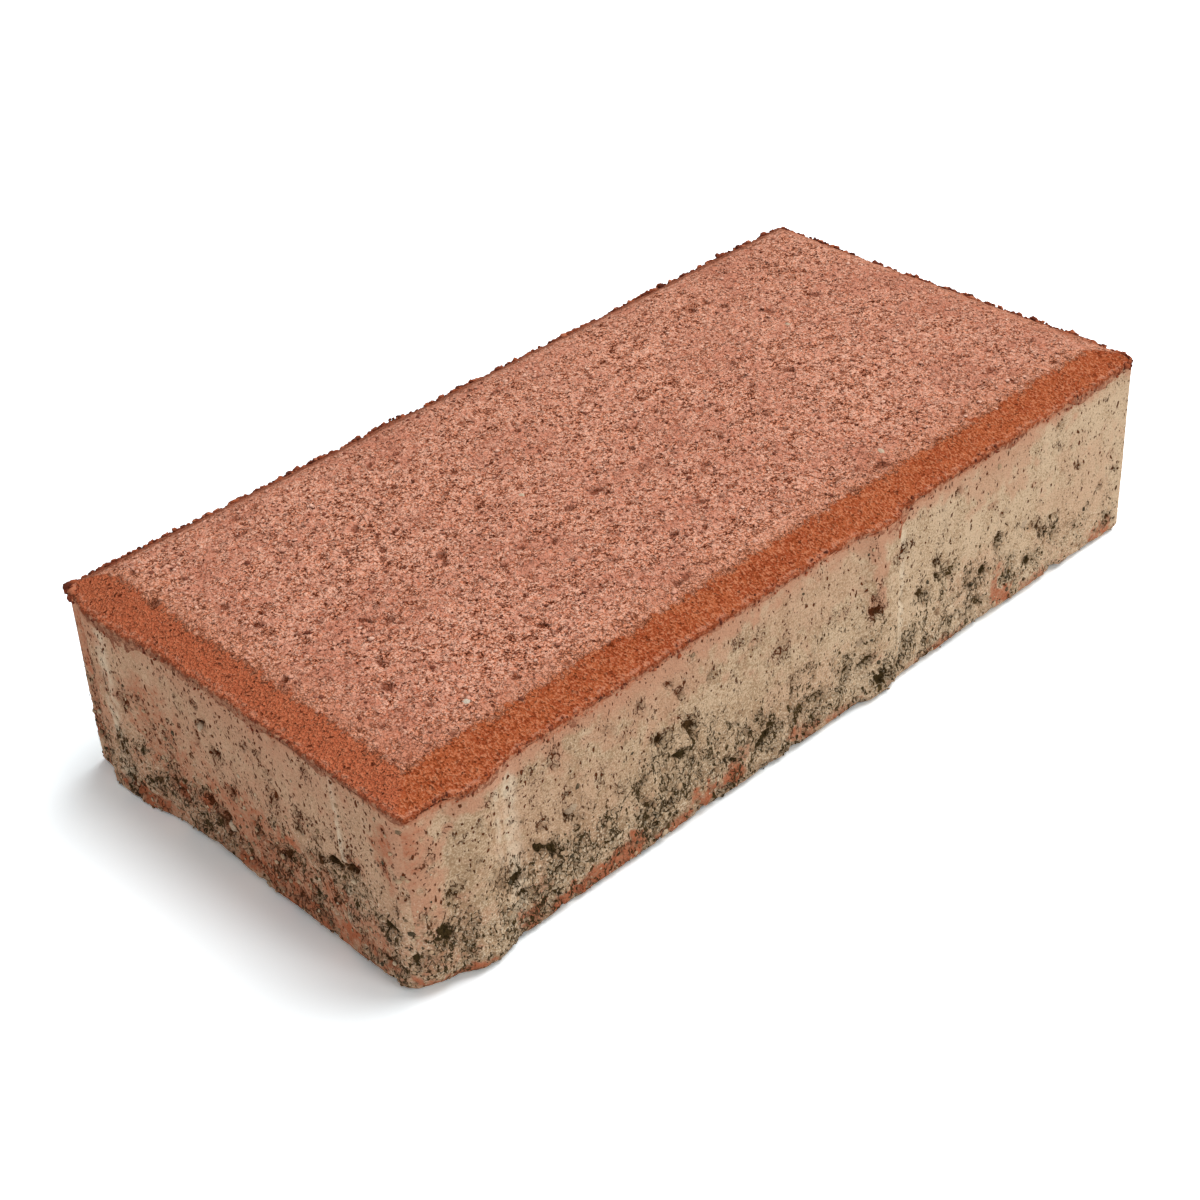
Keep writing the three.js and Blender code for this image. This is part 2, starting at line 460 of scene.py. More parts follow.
def makePressedFace(settings, form):
    shell = ShellMaker(settings["cellsLong"], settings["cellsWide"])
    places = ringPlaces(shell.cellsLong, shell.cellsWide)
    flatEdge = places * flatHalf + flatShift
    rim, outward = outlineAt(places, 1.0, form)
    rimLevel = faceLevel(rim, form)
    upward = np.array([0.0, 0.0, 1.0])
    sideways = np.column_stack([outward, np.zeros(len(outward))])

    torn = layeredNoise(np.column_stack([rim, rimLevel]), 3.2, 2, settings["seed"] + 60)
    laps = shell.alongSides(rim, settings["lipDrop"])
    laps = np.maximum(laps + settings["lipTorn"] * torn, 1.0)

    rings = []
    lips = []
    for row in range(settings["chamferRows"] + 1):
        share = row / settings["chamferRows"]
        plan = flatEdge + (rim - flatEdge) * share
        tilt = form["chamferSlope"][0] * ramp(share, -0.1, 0.25)
        rings.append((np.column_stack([plan, faceLevel(plan, form)]), upward + sideways * tilt))
        lips.append(np.linalg.norm(rim - flatEdge, axis=1) * (share - 1))
    rings[-1] = (rings[-1][0], upward + sideways)
    for row in range(1, settings["lipRows"] + 1):
        share = row / settings["lipRows"]
        drop = laps * share
        proud = settings["lipProud"] * ramp(share, 0.0, 0.12) - settings["lipTuck"] * ramp(share, 0.25, 1.0)
        plan = rim + outward * proud
        rings.append((np.column_stack([plan, rimLevel - drop]), sideways))
        lips.append(drop)
    heartHalf = blockHalf - settings["heart"]
    heartLevel = blockTop - settings["heartDepth"]
    rings.append((np.column_stack([places * heartHalf, np.full(len(places), heartLevel)]), -upward))
    lips.append(np.full(len(places), blockTop))

    # bake map: the flat fills most of it, the chamfer and the lip lie in strips above
    bands = [
        (0.0, 0.80, 1.0, 0.87), (0.0, 0.94, 0.49, 0.995),
        (0.0, 0.87, 1.0, 0.94), (0.51, 0.94, 1.0, 0.995),
    ]
    numbers = shell.addRings(rings, bands)

    def onFlat(unit):
        plan = unit * flatHalf + flatShift
        return np.column_stack([plan, faceLevel(plan, form)])

    def onHeart(unit):
        return np.column_stack([unit * heartHalf, np.full(len(unit), heartLevel)])

    ringPoints = shell.count
    shell.addCap(numbers[0], (), onFlat, upward, (0.0, 0.0, 1.0, 0.79))
    flatPoints = shell.count - ringPoints
    shell.addCap(numbers[-1], hiddenSteps, onHeart, -upward, (0.001, 0.996, 0.004, 0.999))
    points, normals, faces, spots = shell.gathered()
    hiddenPoints = len(points) - ringPoints - flatPoints
    past = pastCrest(points[:, :2])
    lip = np.concatenate([*lips, np.full(flatPoints, -blockTop), np.full(hiddenPoints, blockTop)])
    lift, depth = faceRelief(points, past, lip, settings)
    lift[lip > blockTop - 1] = 0
    moved = points + normals * lift[:, None]
    overEnds = np.abs(points[:, :2] - flatShift) - flatHalf
    ends = ramp(overEnds[:, 0] - overEnds[:, 1], -0.6, 0.6)
    # on the far slopes the granules of the flat run on down, to a torn brim at the back, which is painted
    # dark: partly crumbs, partly shade
    backward = overEnds[:, 1] - overEnds[:, 0]
    overBack = ramp(backward, -1.5, 1.0) * (points[:, 1] > 0)
    overRight = ramp(backward, 0.5, -1.5) * (points[:, 0] > 0)
    dusted = settings["dustRun"] * np.maximum(overBack, overRight)
    frayed = past + 0.9 * layeredNoise(points, 3.0, 2, settings["seed"] + 61)
    brimShade = overBack * ramp(frayed, *settings["brimShade"])
    fields = {"past": past - dusted, "lip": lip, "depth": depth, "ends": ends, "brimShade": brimShade}
    piece = makeMesh("pressedFace", moved, faces, spots, fields)
    return piece, {"points": moved, "normals": normals, "past": past, "lip": lip, "depth": depth}


pressedFace, faceSkin = makePressedFace(faceSettings, blockForm)


# the cast body: the grey sides with their cement skin, and the underside

bodySettings = {
    "cellsLong": 352,        # squares round the sides
    "cellsWide": 176,
    "sideRows": 66,
    "footRows": 6,
    "startDrop": 0.7,        # mm, where the sides come out from under the red lip
    "tucked": (2.6, 0.7),    # how far two hidden rings under the lip dip below that
    "heart": 9.0,            # how far in the hidden top begins
    "heartDepth": 6.0,
    "footBlend": 12,         # squares over which the foot's size is evened out, each way
    "footUneven": 0.22,
    "underInset": 8.5,
    "drag": 0.10,            # upright scrape marks
    "skinSway": 0.12,
    "roughness": 0.30,       # open texture of the lower half
    "honeycomb": 0.95,       # depth of the open voids
    "footChip": 0.35,
    "underRough": 0.30,
    "seed": 53,
    # size of the rounded foot along each side: place, radius
    "foot": {
        "front": [
            (-100, 5.6), (-95, 5.2), (-90, 3.8), (-84, 1.8), (-76, 2.2), (14, 2.3), (20, 1.6),
            (27, 2.2), (46, 2.4), (52, 3.2), (58, 2.4), (88, 2.2), (100, 1.4),
        ],
        "left": [
            (-50, 3.4), (-42, 2.6), (-30, 2.3), (-20, 2.1), (-8, 1.6), (2, 1.6), (6, 2.6),
            (10, 3.0), (13, 1.8), (20, 1.2), (28, 0.6), (50, 0.6),
        ],
        "back": [(-100, 2.0), (100, 1.8)],
        "right": [(-50, 2.0), (50, 1.6)],
    },
    # voids: place along the side, height, length, width, tilt, depth share
    "voids": {
        "front": [
            (-93, 13.5, 4.6, 2.6, -60, 1.7), (-91.5, 21, 2.4, 1.5, 60, 1.0), (-77.5, 15, 3.4, 2.3, -50, 1.5),
            (-70.5, 23, 2.4, 2.0, -30, 0.8), (-71, 18, 3.8, 1.8, -50, 1.3), (-68, 15.5, 4.2, 1.7, -60, 1.3),
            (-67, 10.5, 2.4, 1.4, 20, 0.8), (-64, 21.4, 3.4, 1.5, -50, 1.2),
            (-41.5, 24.5, 3.4, 2.2, -50, 1.6), (-34, 24.2, 2.6, 2.0, 30, 1.5),
            (-33.2, 21.4, 2.8, 1.7, -60, 1.1), (-36.5, 18, 3.8, 1.6, -35, 1.6),
            (-56, 15, 2.2, 1.3, 30, 0.8), (-46, 17.5, 2.2, 1.0, 60, 0.8), (-45, 9, 4.8, 2.8, 80, 0.9),
            (-39.5, 8.4, 3.2, 1.7, 30, 1.0), (-21.5, 8, 2.8, 1.6, -30, 1.2), (-20, 13, 2.6, 1.6, 60, 0.8),
            (-13.6, 8.6, 4.2, 2.1, 30, 1.3), (-12, 10.8, 3.0, 1.6, -40, 1.2), (-4, 9, 3.6, 2.8, 60, 0.9),
            (-38.6, 35.4, 2.5, 1.1, -30, 0.7), (-36, 31.8, 3.0, 1.0, -70, 0.8),
            (-46, 35.4, 1.8, 0.9, -45, 0.6), (-28, 31.5, 2.5, 1.0, 60, 0.8),
            (-53, 33, 2.8, 1.7, -70, 0.5), (-67, 34, 2.3, 0.9, -50, 0.5),
            (-64, 26, 1.5, 0.9, 60, 0.7), (-86, 26, 1.7, 1.0, -50, 0.6), (-10, 27, 3.0, 2.2, 30, 0.6),
            (17.2, 22.6, 3.2, 1.9, -30, 1.7), (16.4, 26, 2.4, 1.1, -60, 0.9), (9.4, 11.5, 2.8, 1.6, 80, 1.5),
            (15, 11.4, 3.0, 1.3, 20, 1.1), (19, 5, 3.8, 3.2, -50, 1.6), (25.6, 20.5, 2.6, 2.0, 20, 0.7),
            (42, 19, 5.4, 2.0, 50, 1.0), (47, 12.4, 3.6, 2.3, -60, 0.8), (56.5, 19, 2.8, 2.2, 60, 0.9),
            (54, 28, 3.2, 2.0, -60, 0.6), (58, 24.6, 2.4, 1.7, 20, 0.8), (67.3, 8, 3.8, 1.9, -75, 1.6),
            (71, 14, 2.8, 1.5, -45, 1.0), (68, 17, 3.2, 2.0, -40, 0.7), (75, 15.4, 2.2, 1.5, 30, 0.7),
            (91.5, 15, 1.9, 1.3, 40, 0.8), (95.5, 22, 3.2, 2.2, 60, 0.6), (83, 24, 1.5, 1.0, -45, 0.9),
            (82, 33, 3.0, 1.5, 20, 0.5), (43, 6.6, 3.2, 1.3, -20, 1.0), (51, 6, 4.2, 1.7, -40, 0.9),
            (24.6, 5, 3.0, 2.4, 0, 0.9), (85, 7, 4.0, 2.6, 80, 0.6), (29.5, 8, 4.0, 1.8, 80, 0.6),
        ],
        "left": [
            (-33.8, 22.8, 4.2, 2.2, -12, 2.4), (-29.6, 21.2, 10.5, 1.7, -18, 2.2),
            (-32.5, 17.4, 7.0, 8.0, 0, 0.55), (-43, 15, 4.2, 2.3, -40, 1.5),
            (-49.5, 15, 2.2, 1.6, -40, 1.0), (-48, 9.5, 3.2, 2.0, -50, 1.2),
            (-48, 24, 1.7, 1.3, 0, 0.7), (-45, 20.4, 2.6, 1.3, -30, 0.8), (-26, 17, 2.4, 1.1, -50, 0.8),
            (-19.7, 23.4, 1.8, 1.6, 0, 0.9), (-21, 19, 3.2, 1.1, 0, 0.8), (1.5, 19.5, 3.2, 1.9, -45, 1.3),
            (-6, 14.4, 3.4, 2.2, 20, 1.0), (-9, 13, 2.6, 1.4, -40, 0.9), (-13, 14.4, 2.2, 1.9, 0, 0.7),
            (-17, 13.4, 3.0, 2.4, 0, 0.6), (5, 12, 3.6, 2.4, -60, 1.2), (9.5, 13, 4.0, 2.8, -70, 1.3),
            (8.2, 8, 7.4, 3.2, -45, 1.0), (12.8, 4.4, 6.2, 2.6, -35, 1.0), (17.6, 9.5, 3.4, 2.6, 40, 1.3),
            (-14, 9, 2.6, 1.9, 30, 1.0), (-22, 5.6, 3.6, 2.3, 20, 1.1), (-10, 7.5, 2.2, 1.5, 0, 0.8),
            (-41, 6, 3.6, 1.6, -40, 1.0), (-2, 5, 5.0, 1.8, 20, 1.1), (27, 8, 4.2, 2.0, -20, 0.9),
            (22, 12, 3.2, 1.5, 30, 0.6), (7, 32.6, 2.6, 1.5, -60, 0.9), (-10, 35, 2.2, 1.2, -20, 0.7),
            (-12.6, 32.4, 3.0, 0.9, -10, 0.6), (-24, 39.4, 2.0, 0.9, 30, 0.7), (-45, 38.4, 1.4, 1.1, 0, 0.7),
            (3.5, 28.4, 1.7, 1.2, 0, 0.6), (-20.5, 27, 1.6, 1.4, 0, 0.6), (36, 13, 4.0, 2.0, 80, 0.7),
            (28.5, 28, 4.0, 1.5, 10, 0.4), (43, 29, 3.2, 1.6, 20, 0.8), (46, 21.6, 3.2, 1.2, 0, 0.9),
            (44.5, 34, 3.2, 2.6, 0, 0.5), (-16, 40.6, 2.0, 1.0, -50, 0.6), (-5, 24, 2.4, 1.6, 40, 0.5),
        ],
    },
    # red paste showing through the skin: place, height, length, width, tilt, strength
    "rust": {
        "front": [
            (-91, 2.6, 14, 2.6, 0, 0.9), (-73, 4.2, 10, 6.5, 0, 1.0), (-62, 3.2, 22, 4.2, 0, 1.0),
            (-50, 4.0, 12, 6.0, 0, 0.9), (-39, 2.6, 10, 3.0, 0, 0.7), (-30, 4.0, 10, 5.5, 0, 1.0),
            (-23, 4.4, 7, 6.0, 0, 1.0), (-2, 4.0, 8, 5.0, 0, 0.75), (8, 2.6, 12, 2.6, 0, 0.6),
            (57, 4.0, 12, 5.0, 0, 1.0), (56.5, 9, 6, 4, 75, 0.8), (38, 2.4, 14, 2.2, 0, 0.6),
            (72, 2.6, 14, 3.0, 0, 0.6), (93, 3.4, 10, 4.0, 0, 0.7), (-71, 9, 7, 5, 0, 0.5),
            (18, 12, 5, 4, 0, 0.4), (-21, 9, 5, 4, 0, 0.5), (-17, 34, 13, 1.5, 88, 0.35),
            (-98, 36, 16, 5, 88, 0.45), (-96, 8, 8, 6, 0, 0.45), (-90, 6, 6, 4, 0, 0.4),
            (-45, 13, 5, 4, 0, 0.4),
        ],
        "left": [
            (-44, 33, 15, 5, 88, 0.45), (-28, 12, 8, 6, 60, 0.6), (-16, 18, 4, 3, 0, 0.8),
            (-5, 19, 2.4, 2, 0, 0.7), (10.6, 12.6, 6, 3, -70, 1.0), (19, 10, 4, 4, 0, 0.9),
            (-12, 8, 10, 6, 0, 0.6), (-7, 5, 13, 4, 0, 0.8), (0, 4, 8, 3, 0, 0.9),
            (-31, 6, 5, 4, 0, 0.9), (31, 3, 11, 5, 0, 0.9), (44.5, 25, 7, 6, 0, 0.6),
            (25, 25, 16, 13, 0, 0.35), (16, 17, 8, 6, 0, 0.4), (48, 10, 9, 6, 80, 0.5),
            (-42, 5, 5, 3, 0, 0.6), (-36, 25, 6, 5, 0, 0.4), (46, 36, 6, 5, 0, 0.5),
            (46, 20, 40, 7, 90, 0.35), (-20, 5, 50, 7, 0, 0.6), (-8, 13, 44, 15, 0, 0.5),
            (20, 16, 20, 18, 0, 0.4), (-36, 10, 18, 12, 0, 0.4),
        ],
    },
    # pink stain washed down from the face; the upright mark at 17.8 on the front also paints the shade on
    # that nib's left flank
    "blush": {
        "front": [
            (-98.5, 30, 36, 13, 90, 1.0), (-55, 41, 110, 9, 0, 0.8), (17.8, 34, 24, 5, 90, 0.9),
            (-44, 36, 44, 16, 0, 0.6), (57, 36, 26, 16, 0, 0.65), (-93, 12, 14, 18, 80, 0.5),
            (30, 41, 130, 7, 0, 0.6), (2, 34, 40, 18, 0, 0.4), (-66, 24, 40, 30, 0, 0.35),
            (84, 16, 30, 30, 0, 0.35), (-4, 14, 30, 14, 0, 0.35), (50, 12, 20, 14, 0, 0.4),
        ],
        "left": [
            (-5, 36, 60, 12, 0, 0.5), (-47.5, 34, 20, 8, 88, 0.9), (20, 24, 40, 26, 0, 0.5),
            (-8, 24, 30, 12, 0, 0.5), (0, 8, 90, 16, 0, 0.6), (45, 24, 44, 12, 90, 0.9),
        ],
    },
    # pale upright streaks on the nibs' flanks and at small steps: low ridges from the mould, painted lighter
    # as highlight where they face the lamps; place, lowest, highest, height, half width
    "litStreaks": {
        "front": [(25.4, 6, 36, 0.10, 1.6), (-76.8, 3, 41, 0.0, 2.8), (-80.4, 22, 41, 0.10, 0.9)],
        "left": [(-32.2, 24, 42, 0.30, 1.1), (-32.0, 8, 17, 0.35, 1.1), (35.6, 4, 36, 0.25, 1.0),
                 (36.6, 3, 38, 0.0, 2.8)],
    },
    "strewnVoids": {"front": 32, "left": 22, "back": 90, "right": 50},
    "strewnStains": {"back": 34, "right": 24},
    # levels: lowest, highest, and how rare the high ones are
    "voidSpread": {"levels": (4, 38, 1.9), "sizes": (1.4, 4.2), "strengths": (0.5, 1.4)},
    "stainSpread": {
        "rust": {"levels": (2, 30, 2.0), "sizes": (3, 11), "strengths": (0.3, 0.9)},
        "blush": {"levels": (8, 44, 0.5), "sizes": (8, 40), "strengths": (0.3, 0.9)},
    },
    "cornerMargin": 3,       # mm, kept free of strewn spots at each end of a side
}


def bodyRelief(points, normals, rim, side, settings):
    seed = settings["seed"]
    height = points[:, 2]
    upright = ramp(normals[:, 2], -0.95, -0.35)
    under = 1 - upright
    ragged = layeredNoise(points, 1.3, 2, seed)
    coarse = layeredNoise(points, 2.3, 3, seed + 4)
    patch = layeredNoise(points, 17.0, 2, seed + 10)
    # smoother toward the right end, rougher at the left one
    leaning = 6 * ramp(points[:, 0], 0, 90) - 4 * ramp(points[:, 0], -60, -88)
    rough = ramp(height + 11 * patch + leaning, 31, 5)
    drag = layeredNoise(points * np.array([1, 1, 0.12]), 2.6, 2, seed + 16)
    sway = layeredNoise(points, 26.0, 2, seed + 20)

    voids = np.zeros(len(points))
    halo = np.zeros(len(points))
    stains = {"rust": np.zeros(len(points)), "blush": np.zeros(len(points))}
    litStreak = np.zeros(len(points))
    lift = np.zeros(len(points))
    for number, (name, facing) in enumerate(sideFacing.items()):
        here = side == number
        axis = 1 - facing[0]
        along = points[here, axis]
        level = height[here]
        reach = blockHalf[axis] - settings["cornerMargin"]
        strewn = strewMarks(seed + number, settings["strewnVoids"][name], reach, **settings["voidSpread"])
        marks = settings["voids"].get(name, []) + strewn
        voids[here], halo[here] = markField(along, level, marks, ragged[here])
        for kind, field in stains.items():
            marks = settings[kind].get(name)
            if marks is None:
                count = settings["strewnStains"][name]
                spread = settings["stainSpread"][kind]
                marks = strewMarks(seed + 31 * number + len(kind), count, reach, **spread)
            field[here] = markField(along, level, marks, 1.2 * coarse[here] + 0.5 * ragged[here])[0]
        # each streak lifts a low ridge where its height is not 0, and marks where its highlight is painted
        for place, low, high, thickness, halfWidth in settings["litStreaks"].get(name, []):
            near = ramp(np.abs(along - place + 0.5 * patch[here]), halfWidth, 0.25 * halfWidth)
            near = near * ramp(ragged[here], -0.9, 0.3)
            near *= ramp(level, low - 2, low + 1) * ramp(level, high + 2, high - 1)
            litStreak[here] = np.maximum(litStreak[here], near)
            lift[here] += thickness * near

    openings = ramp(coarse + 0.30 * patch + 0.42 * rough, 0.52, 0.80)
    lift += upright * (settings["skinSway"] * sway + settings["drag"] * drag * (1 - 0.6 * rough))
    lift += upright * settings["roughness"] * rough * (coarse + 0.5 * ragged - 0.1)
    hollow = np.maximum(voids, openings * (0.25 + 0.75 * rough) * ramp(rim, 2.0, 6.0))
    lift -= upright * settings["honeycomb"] * hollow
    lift -= settings["footChip"] * ramp(coarse, -0.1, 0.7) * ramp(height, 5.5, 1.0) * upright
    pocked = ramp(coarse + 0.3 * patch, 0.4, 0.7)
    lift -= under * (settings["underRough"] * (0.6 + 0.5 * coarse) + 0.8 * pocked)
    depth = np.maximum(settings["honeycomb"] * np.maximum(voids, 0.4 * hollow), 0.6 * under * pocked)
    return lift, depth, rough, {"halo": halo, "litStreak": litStreak, **stains}


def makeCastBody(settings, form):
    shell = ShellMaker(settings["cellsLong"], settings["cellsWide"])
    places = ringPlaces(shell.cellsLong, shell.cellsWide)
    rim, outward = outlineAt(places, 1.0, form)
    startLevel = faceLevel(rim, form) - settings["startDrop"]
    upward = np.array([0.0, 0.0, 1.0])
    rings = []
    rims = []

    # tucked in under the pressed face
    heartHalf = blockHalf - settings["heart"]
    for inner, drop in zip((places * heartHalf, rim - outward), settings["tucked"]):
        rings.append((np.column_stack([inner, startLevel - drop]), upward))
        rims.append(np.full(len(places), -1.0))

    footSizes = shell.alongSides(rim, settings["foot"])
    blend = settings["footBlend"]
    window = np.hanning(2 * blend + 1)
    wrapped = np.concatenate([footSizes[-blend:], footSizes, footSizes[:blend]])
    footSizes = np.convolve(wrapped, window / window.sum(), "valid")
    footLine = np.column_stack([places * blockHalf, np.zeros(len(places))])
    uneven = layeredNoise(footLine, 4.0, 3, settings["seed"] + 80)
    footSizes = footSizes * (1 + settings["footUneven"] * uneven)

    for row in range(settings["sideRows"] + 1):
        share = row / settings["sideRows"]
        outline, outward = outlineAt(places, 1 - share, form)
        level = startLevel + (footSizes - startLevel) * share
        facing = np.column_stack([outward, np.zeros(len(places))])
        rings.append((np.column_stack([outline, level]), facing))
        rims.append(startLevel + settings["startDrop"] - level)
    foot, sideways = rings[-1]
    for row in range(1, settings["footRows"] + 1):
        angle = math.pi / 2 * row / settings["footRows"]
        inset = footSizes[:, None] * (1 - math.cos(angle))
        drop = footSizes[:, None] * math.sin(angle)
        facing = sideways * math.cos(angle) - upward * math.sin(angle)
        rings.append((foot - sideways * inset - upward * drop, facing))
        rims.append(rims[-1] + footSizes * math.pi / 2 / settings["footRows"])

    # bake map: the underside below, the four sides in strips above it
    bands = [
        (0.0, 0.46, 1.0, 0.64), (0.0, 0.82, 0.49, 1.0),
        (0.0, 0.64, 1.0, 0.82), (0.51, 0.82, 1.0, 1.0),
    ]
    numbers = shell.addRings(rings, bands)
    underHalf = blockHalf - settings["underInset"]
    heartLevel = blockTop - settings["heartDepth"]
    underStep = 0.03                         # share by which the first ring of squares steps in

    def underneath(unit):
        return np.column_stack([unit * underHalf / (1 - underStep), np.zeros(len(unit))])

    def inside(unit):
        return np.column_stack([unit * heartHalf, np.full(len(unit), heartLevel)])

    ringPoints = shell.count
    shell.addCap(numbers[-1], (underStep,), underneath, -upward, (0.0, 0.0, 1.0, 0.45))
    underPoints = shell.count - ringPoints
    shell.addCap(numbers[0], hiddenSteps, inside, upward, (0.001, 0.452, 0.004, 0.458))
    points, normals, faces, spots = shell.gathered()
    hiddenPoints = len(points) - ringPoints - underPoints
    sides = np.concatenate([np.tile(shell.side, len(rings)), np.full(underPoints + hiddenPoints, -1)])
    rimDrop = np.concatenate([*rims, np.full(underPoints, blockTop), np.full(hiddenPoints, -1.0)])
    lift, depth, rough, fields = bodyRelief(points, normals, rimDrop, sides, settings)
    lift[rimDrop < 0] = 0
    moved = points + normals * lift[:, None]
    moved[:, 2] = np.maximum(moved[:, 2], 0.0)
    fields.update(rim=rimDrop, depth=depth, rough=rough, level=points[:, 2])
    fields.update(endShare=np.abs(normals[:, 0]), under=ramp(normals[:, 2], -0.3, -0.95))
    fields.update(pale=ramp(points[:, 0], -50, 70))
    piece = makeMesh("castBody", moved, faces, spots, fields)
    return piece, {"points": moved, "normals": normals, "rim": rimDrop, "rough": rough, "depth": depth}


castBody, bodySkin = makeCastBody(bodySettings, blockForm)


# loose crumbs and grains, each a small angular stone bedded in the surface

def roundLump(fineness):
    # corners and faces of a ball of radius 1
    ball = bmesh.new()
    bmesh.ops.create_icosphere(ball, subdivisions=fineness, radius=1.0)
    corners = np.array([vertex.co for vertex in ball.verts])
    faces = np.array([[vertex.index for vertex in face.verts] for face in ball.faces])
    ball.free()
    return corners, faces


def makeLumps(name, places, normals, sizes, tones, settings):
    # each lump is a ball pulled about, turned at random and flattened against the surface
    dice = np.random.default_rng(settings["seed"])
    corners, faces = roundLump(settings["fineness"])
    count = len(places)
    turns = dice.normal(size=(count, 4))
    turns /= np.linalg.norm(turns, axis=1, keepdims=True)
    w, x, y, z = turns.T
    spin = np.array([
        [1 - 2 * (y * y + z * z), 2 * (x * y - w * z), 2 * (x * z + w * y)],
        [2 * (x * y + w * z), 1 - 2 * (x * x + z * z), 2 * (y * z - w * x)],
        [2 * (x * z - w * y), 2 * (y * z + w * x), 1 - 2 * (x * x + y * y)],
    ]).transpose(2, 0, 1)
    stretch = dice.uniform(*settings["stretch"], (count, 1, 3))
    knobs = dice.uniform(*settings["knobs"], (count, len(corners), 1))
    shape = np.einsum("nij,nkj->nki", spin, corners * stretch * knobs) * sizes[:, None, None]
    out = np.einsum("nki,ni->nk", shape, normals)
    shape -= (1 - settings["flatness"]) * out[..., None] * normals[:, None, :]
    points = (places[:, None, :] + shape).reshape(-1, 3)
    points[:, 2] = np.maximum(points[:, 2], 0.0)
    crown = (out / sizes[:, None]).reshape(-1)

    # bake map: one square for each lump, its upper and lower halves side by side
    across = math.ceil(math.sqrt(count))
    cell = np.stack([np.arange(count) % across, np.arange(count) // across], axis=1) / across
    aside = np.cross(normals, np.array([0.31, 0.22, 0.93]))
    aside /= np.linalg.norm(aside, axis=1, keepdims=True)
    ahead = np.cross(normals, aside)
    flat = np.stack([np.einsum("nki,ni->nk", shape, aside), np.einsum("nki,ni->nk", shape, ahead)], axis=-1)
    flat = 0.5 + 0.32 * flat / sizes[:, None, None]
    faceFlat = flat[:, faces]
    faceOut = out[:, faces].mean(axis=2) < 0
    faceFlat[..., 0] = faceFlat[..., 0] / 2 + 0.5 * faceOut[..., None]
    spots = (cell[:, None, None, :] + np.clip(faceFlat, 0.01, 0.99) / across).reshape(-1, 2)

    allFaces = (faces + len(corners) * np.arange(count)[:, None, None]).reshape(-1, 3).tolist()
    fields = {"tone": np.repeat(tones, len(corners)), "crown": crown}
    return makeMesh(name, points, allFaces, spots, fields)


def strewLumps(name, skin, weights, swell, settings):
    # lumps on points of a skin, picked by weight; swell makes those of some points larger
    dice = np.random.default_rng(settings["seed"] + 1)
    picked = dice.choice(len(weights), settings["count"], replace=False, p=weights / weights.sum())
    low, high, power = settings["sizes"]
    sizes = low + (high - low) * dice.random(len(picked)) ** power
    jitter = dice.uniform(-0.3, 0.3, (len(picked), 3))       # mm, off the exact points
    normals = skin["normals"][picked]
    places = skin["points"][picked] + jitter - normals * (settings["bedded"] * sizes)[:, None]
    tones = dice.random(len(picked))
    sizes = sizes * np.broadcast_to(swell, len(weights))[picked]
    return makeLumps(name, places, normals, sizes, tones, settings)


rimCrumbSettings = {
    "count": 2800,
    "fineness": 1,
    "sizes": (0.16, 0.45, 2.6),      # mm: smallest, largest, and how rare the large ones are
    "farEdges": (96.0, 45.5),        # mm, beyond which x and y an edge is a far one, and more torn
    "farMore": 3.0,                  # how many more crumbs lie there
    "farLarger": 1.2,                # and how much larger they are
    "stretch": (0.7, 1.3),
    "knobs": (0.75, 1.2),
    "flatness": 0.75,
    "bedded": 0.25,
    "seed": 301,
}

faceGrainSettings = {
    "count": 4200,
    "fineness": 1,
    "sizes": (0.22, 0.60, 2.4),
    "stretch": (0.7, 1.3),
    "knobs": (0.75, 1.2),
    "flatness": 0.6,
    "bedded": 0.30,
    "seed": 307,
}

sideGritSettings = {
    "count": 3800,
    "fineness": 1,
    "sizes": (0.20, 0.75, 2.6),
    "stretch": (0.7, 1.3),
    "knobs": (0.75, 1.2),
    "flatness": 0.6,
    "bedded": 0.40,
    "seed": 311,
}

pebbleSettings = {
    "fineness": 3,
    "stretch": (0.8, 1.25),
    "knobs": (0.90, 1.06),
    "flatness": 0.7,
    "bedded": 0.58,
    "seed": 317,
    # on the face: x, y, radius, tone
    "face": [
        (-73.6, -36.7, 1.0, 0.95), (-23.7, 5.0, 0.9, 0.6), (34.7, -36.4, 0.9, 0.6), (61.0, 12.0, 0.7, 0.5),
    ],
    # on the sides: side, place along it, height, radius, tone
    "sides": [
        ("front", -63.0, 22.6, 1.5, 0.45), ("front", -92.0, 18.6, 1.3, 0.35), ("front", -69.0, 9.4, 1.2, 0.5),
        ("front", -86.5, 11.0, 1.6, 0.4), ("front", 64.5, 19.0, 1.7, 0.5), ("front", 13.5, 16.0, 1.5, 0.35),
        ("left", 8.6, 30.6, 1.0, 0.55), ("left", 3.6, 9.6, 1.3, 0.6), ("left", -32.4, 24.2, 0.9, 0.8),
        ("back", 31.0, 14.0, 1.5, 0.5), ("back", -52.0, 20.0, 1.3, 0.6), ("right", 12.0, 15.0, 1.4, 0.55),
    ],
}


def makeRimCrumbs(skin, settings):
    ragged = layeredNoise(skin["points"], 5.0, 2, settings["seed"])
    weights = ramp(skin["lip"], -1.0, -0.2) * ramp(skin["lip"], 2.4 + 1.2 * ragged, 1.2 + 1.2 * ragged)
    weights *= ramp(ragged, -0.6, 0.5)
    farEdge = ramp(np.max(skin["points"][:, :2] - settings["farEdges"], axis=1), 0, 1)
    weights *= 1 + settings["farMore"] * farEdge
    return strewLumps("rimCrumbs", skin, weights, 1 + settings["farLarger"] * farEdge, settings)


def makeFaceGrains(skin, settings):
    weights = ramp(skin["past"], 1.5, -1.0) * ramp(skin["normals"][:, 2], 0.5, 0.9)
    weights *= ramp(skin["depth"], 0.25, 0.05)         # few in the pits
    weights *= ramp(skin["lip"], 0.0, -3.0)
    return strewLumps("faceGrains", skin, weights, 1.0, settings)


def makeSideGrit(skin, settings):
    weights = (0.04 + skin["rough"]) * ramp(skin["rim"], 1.5, 4.0)
    weights *= ramp(skin["normals"][:, 2], -0.99, -0.7)
    weights *= ramp(skin["depth"], 0.35, 0.05)
    return strewLumps("sideGrit", skin, weights, 1.0, settings)


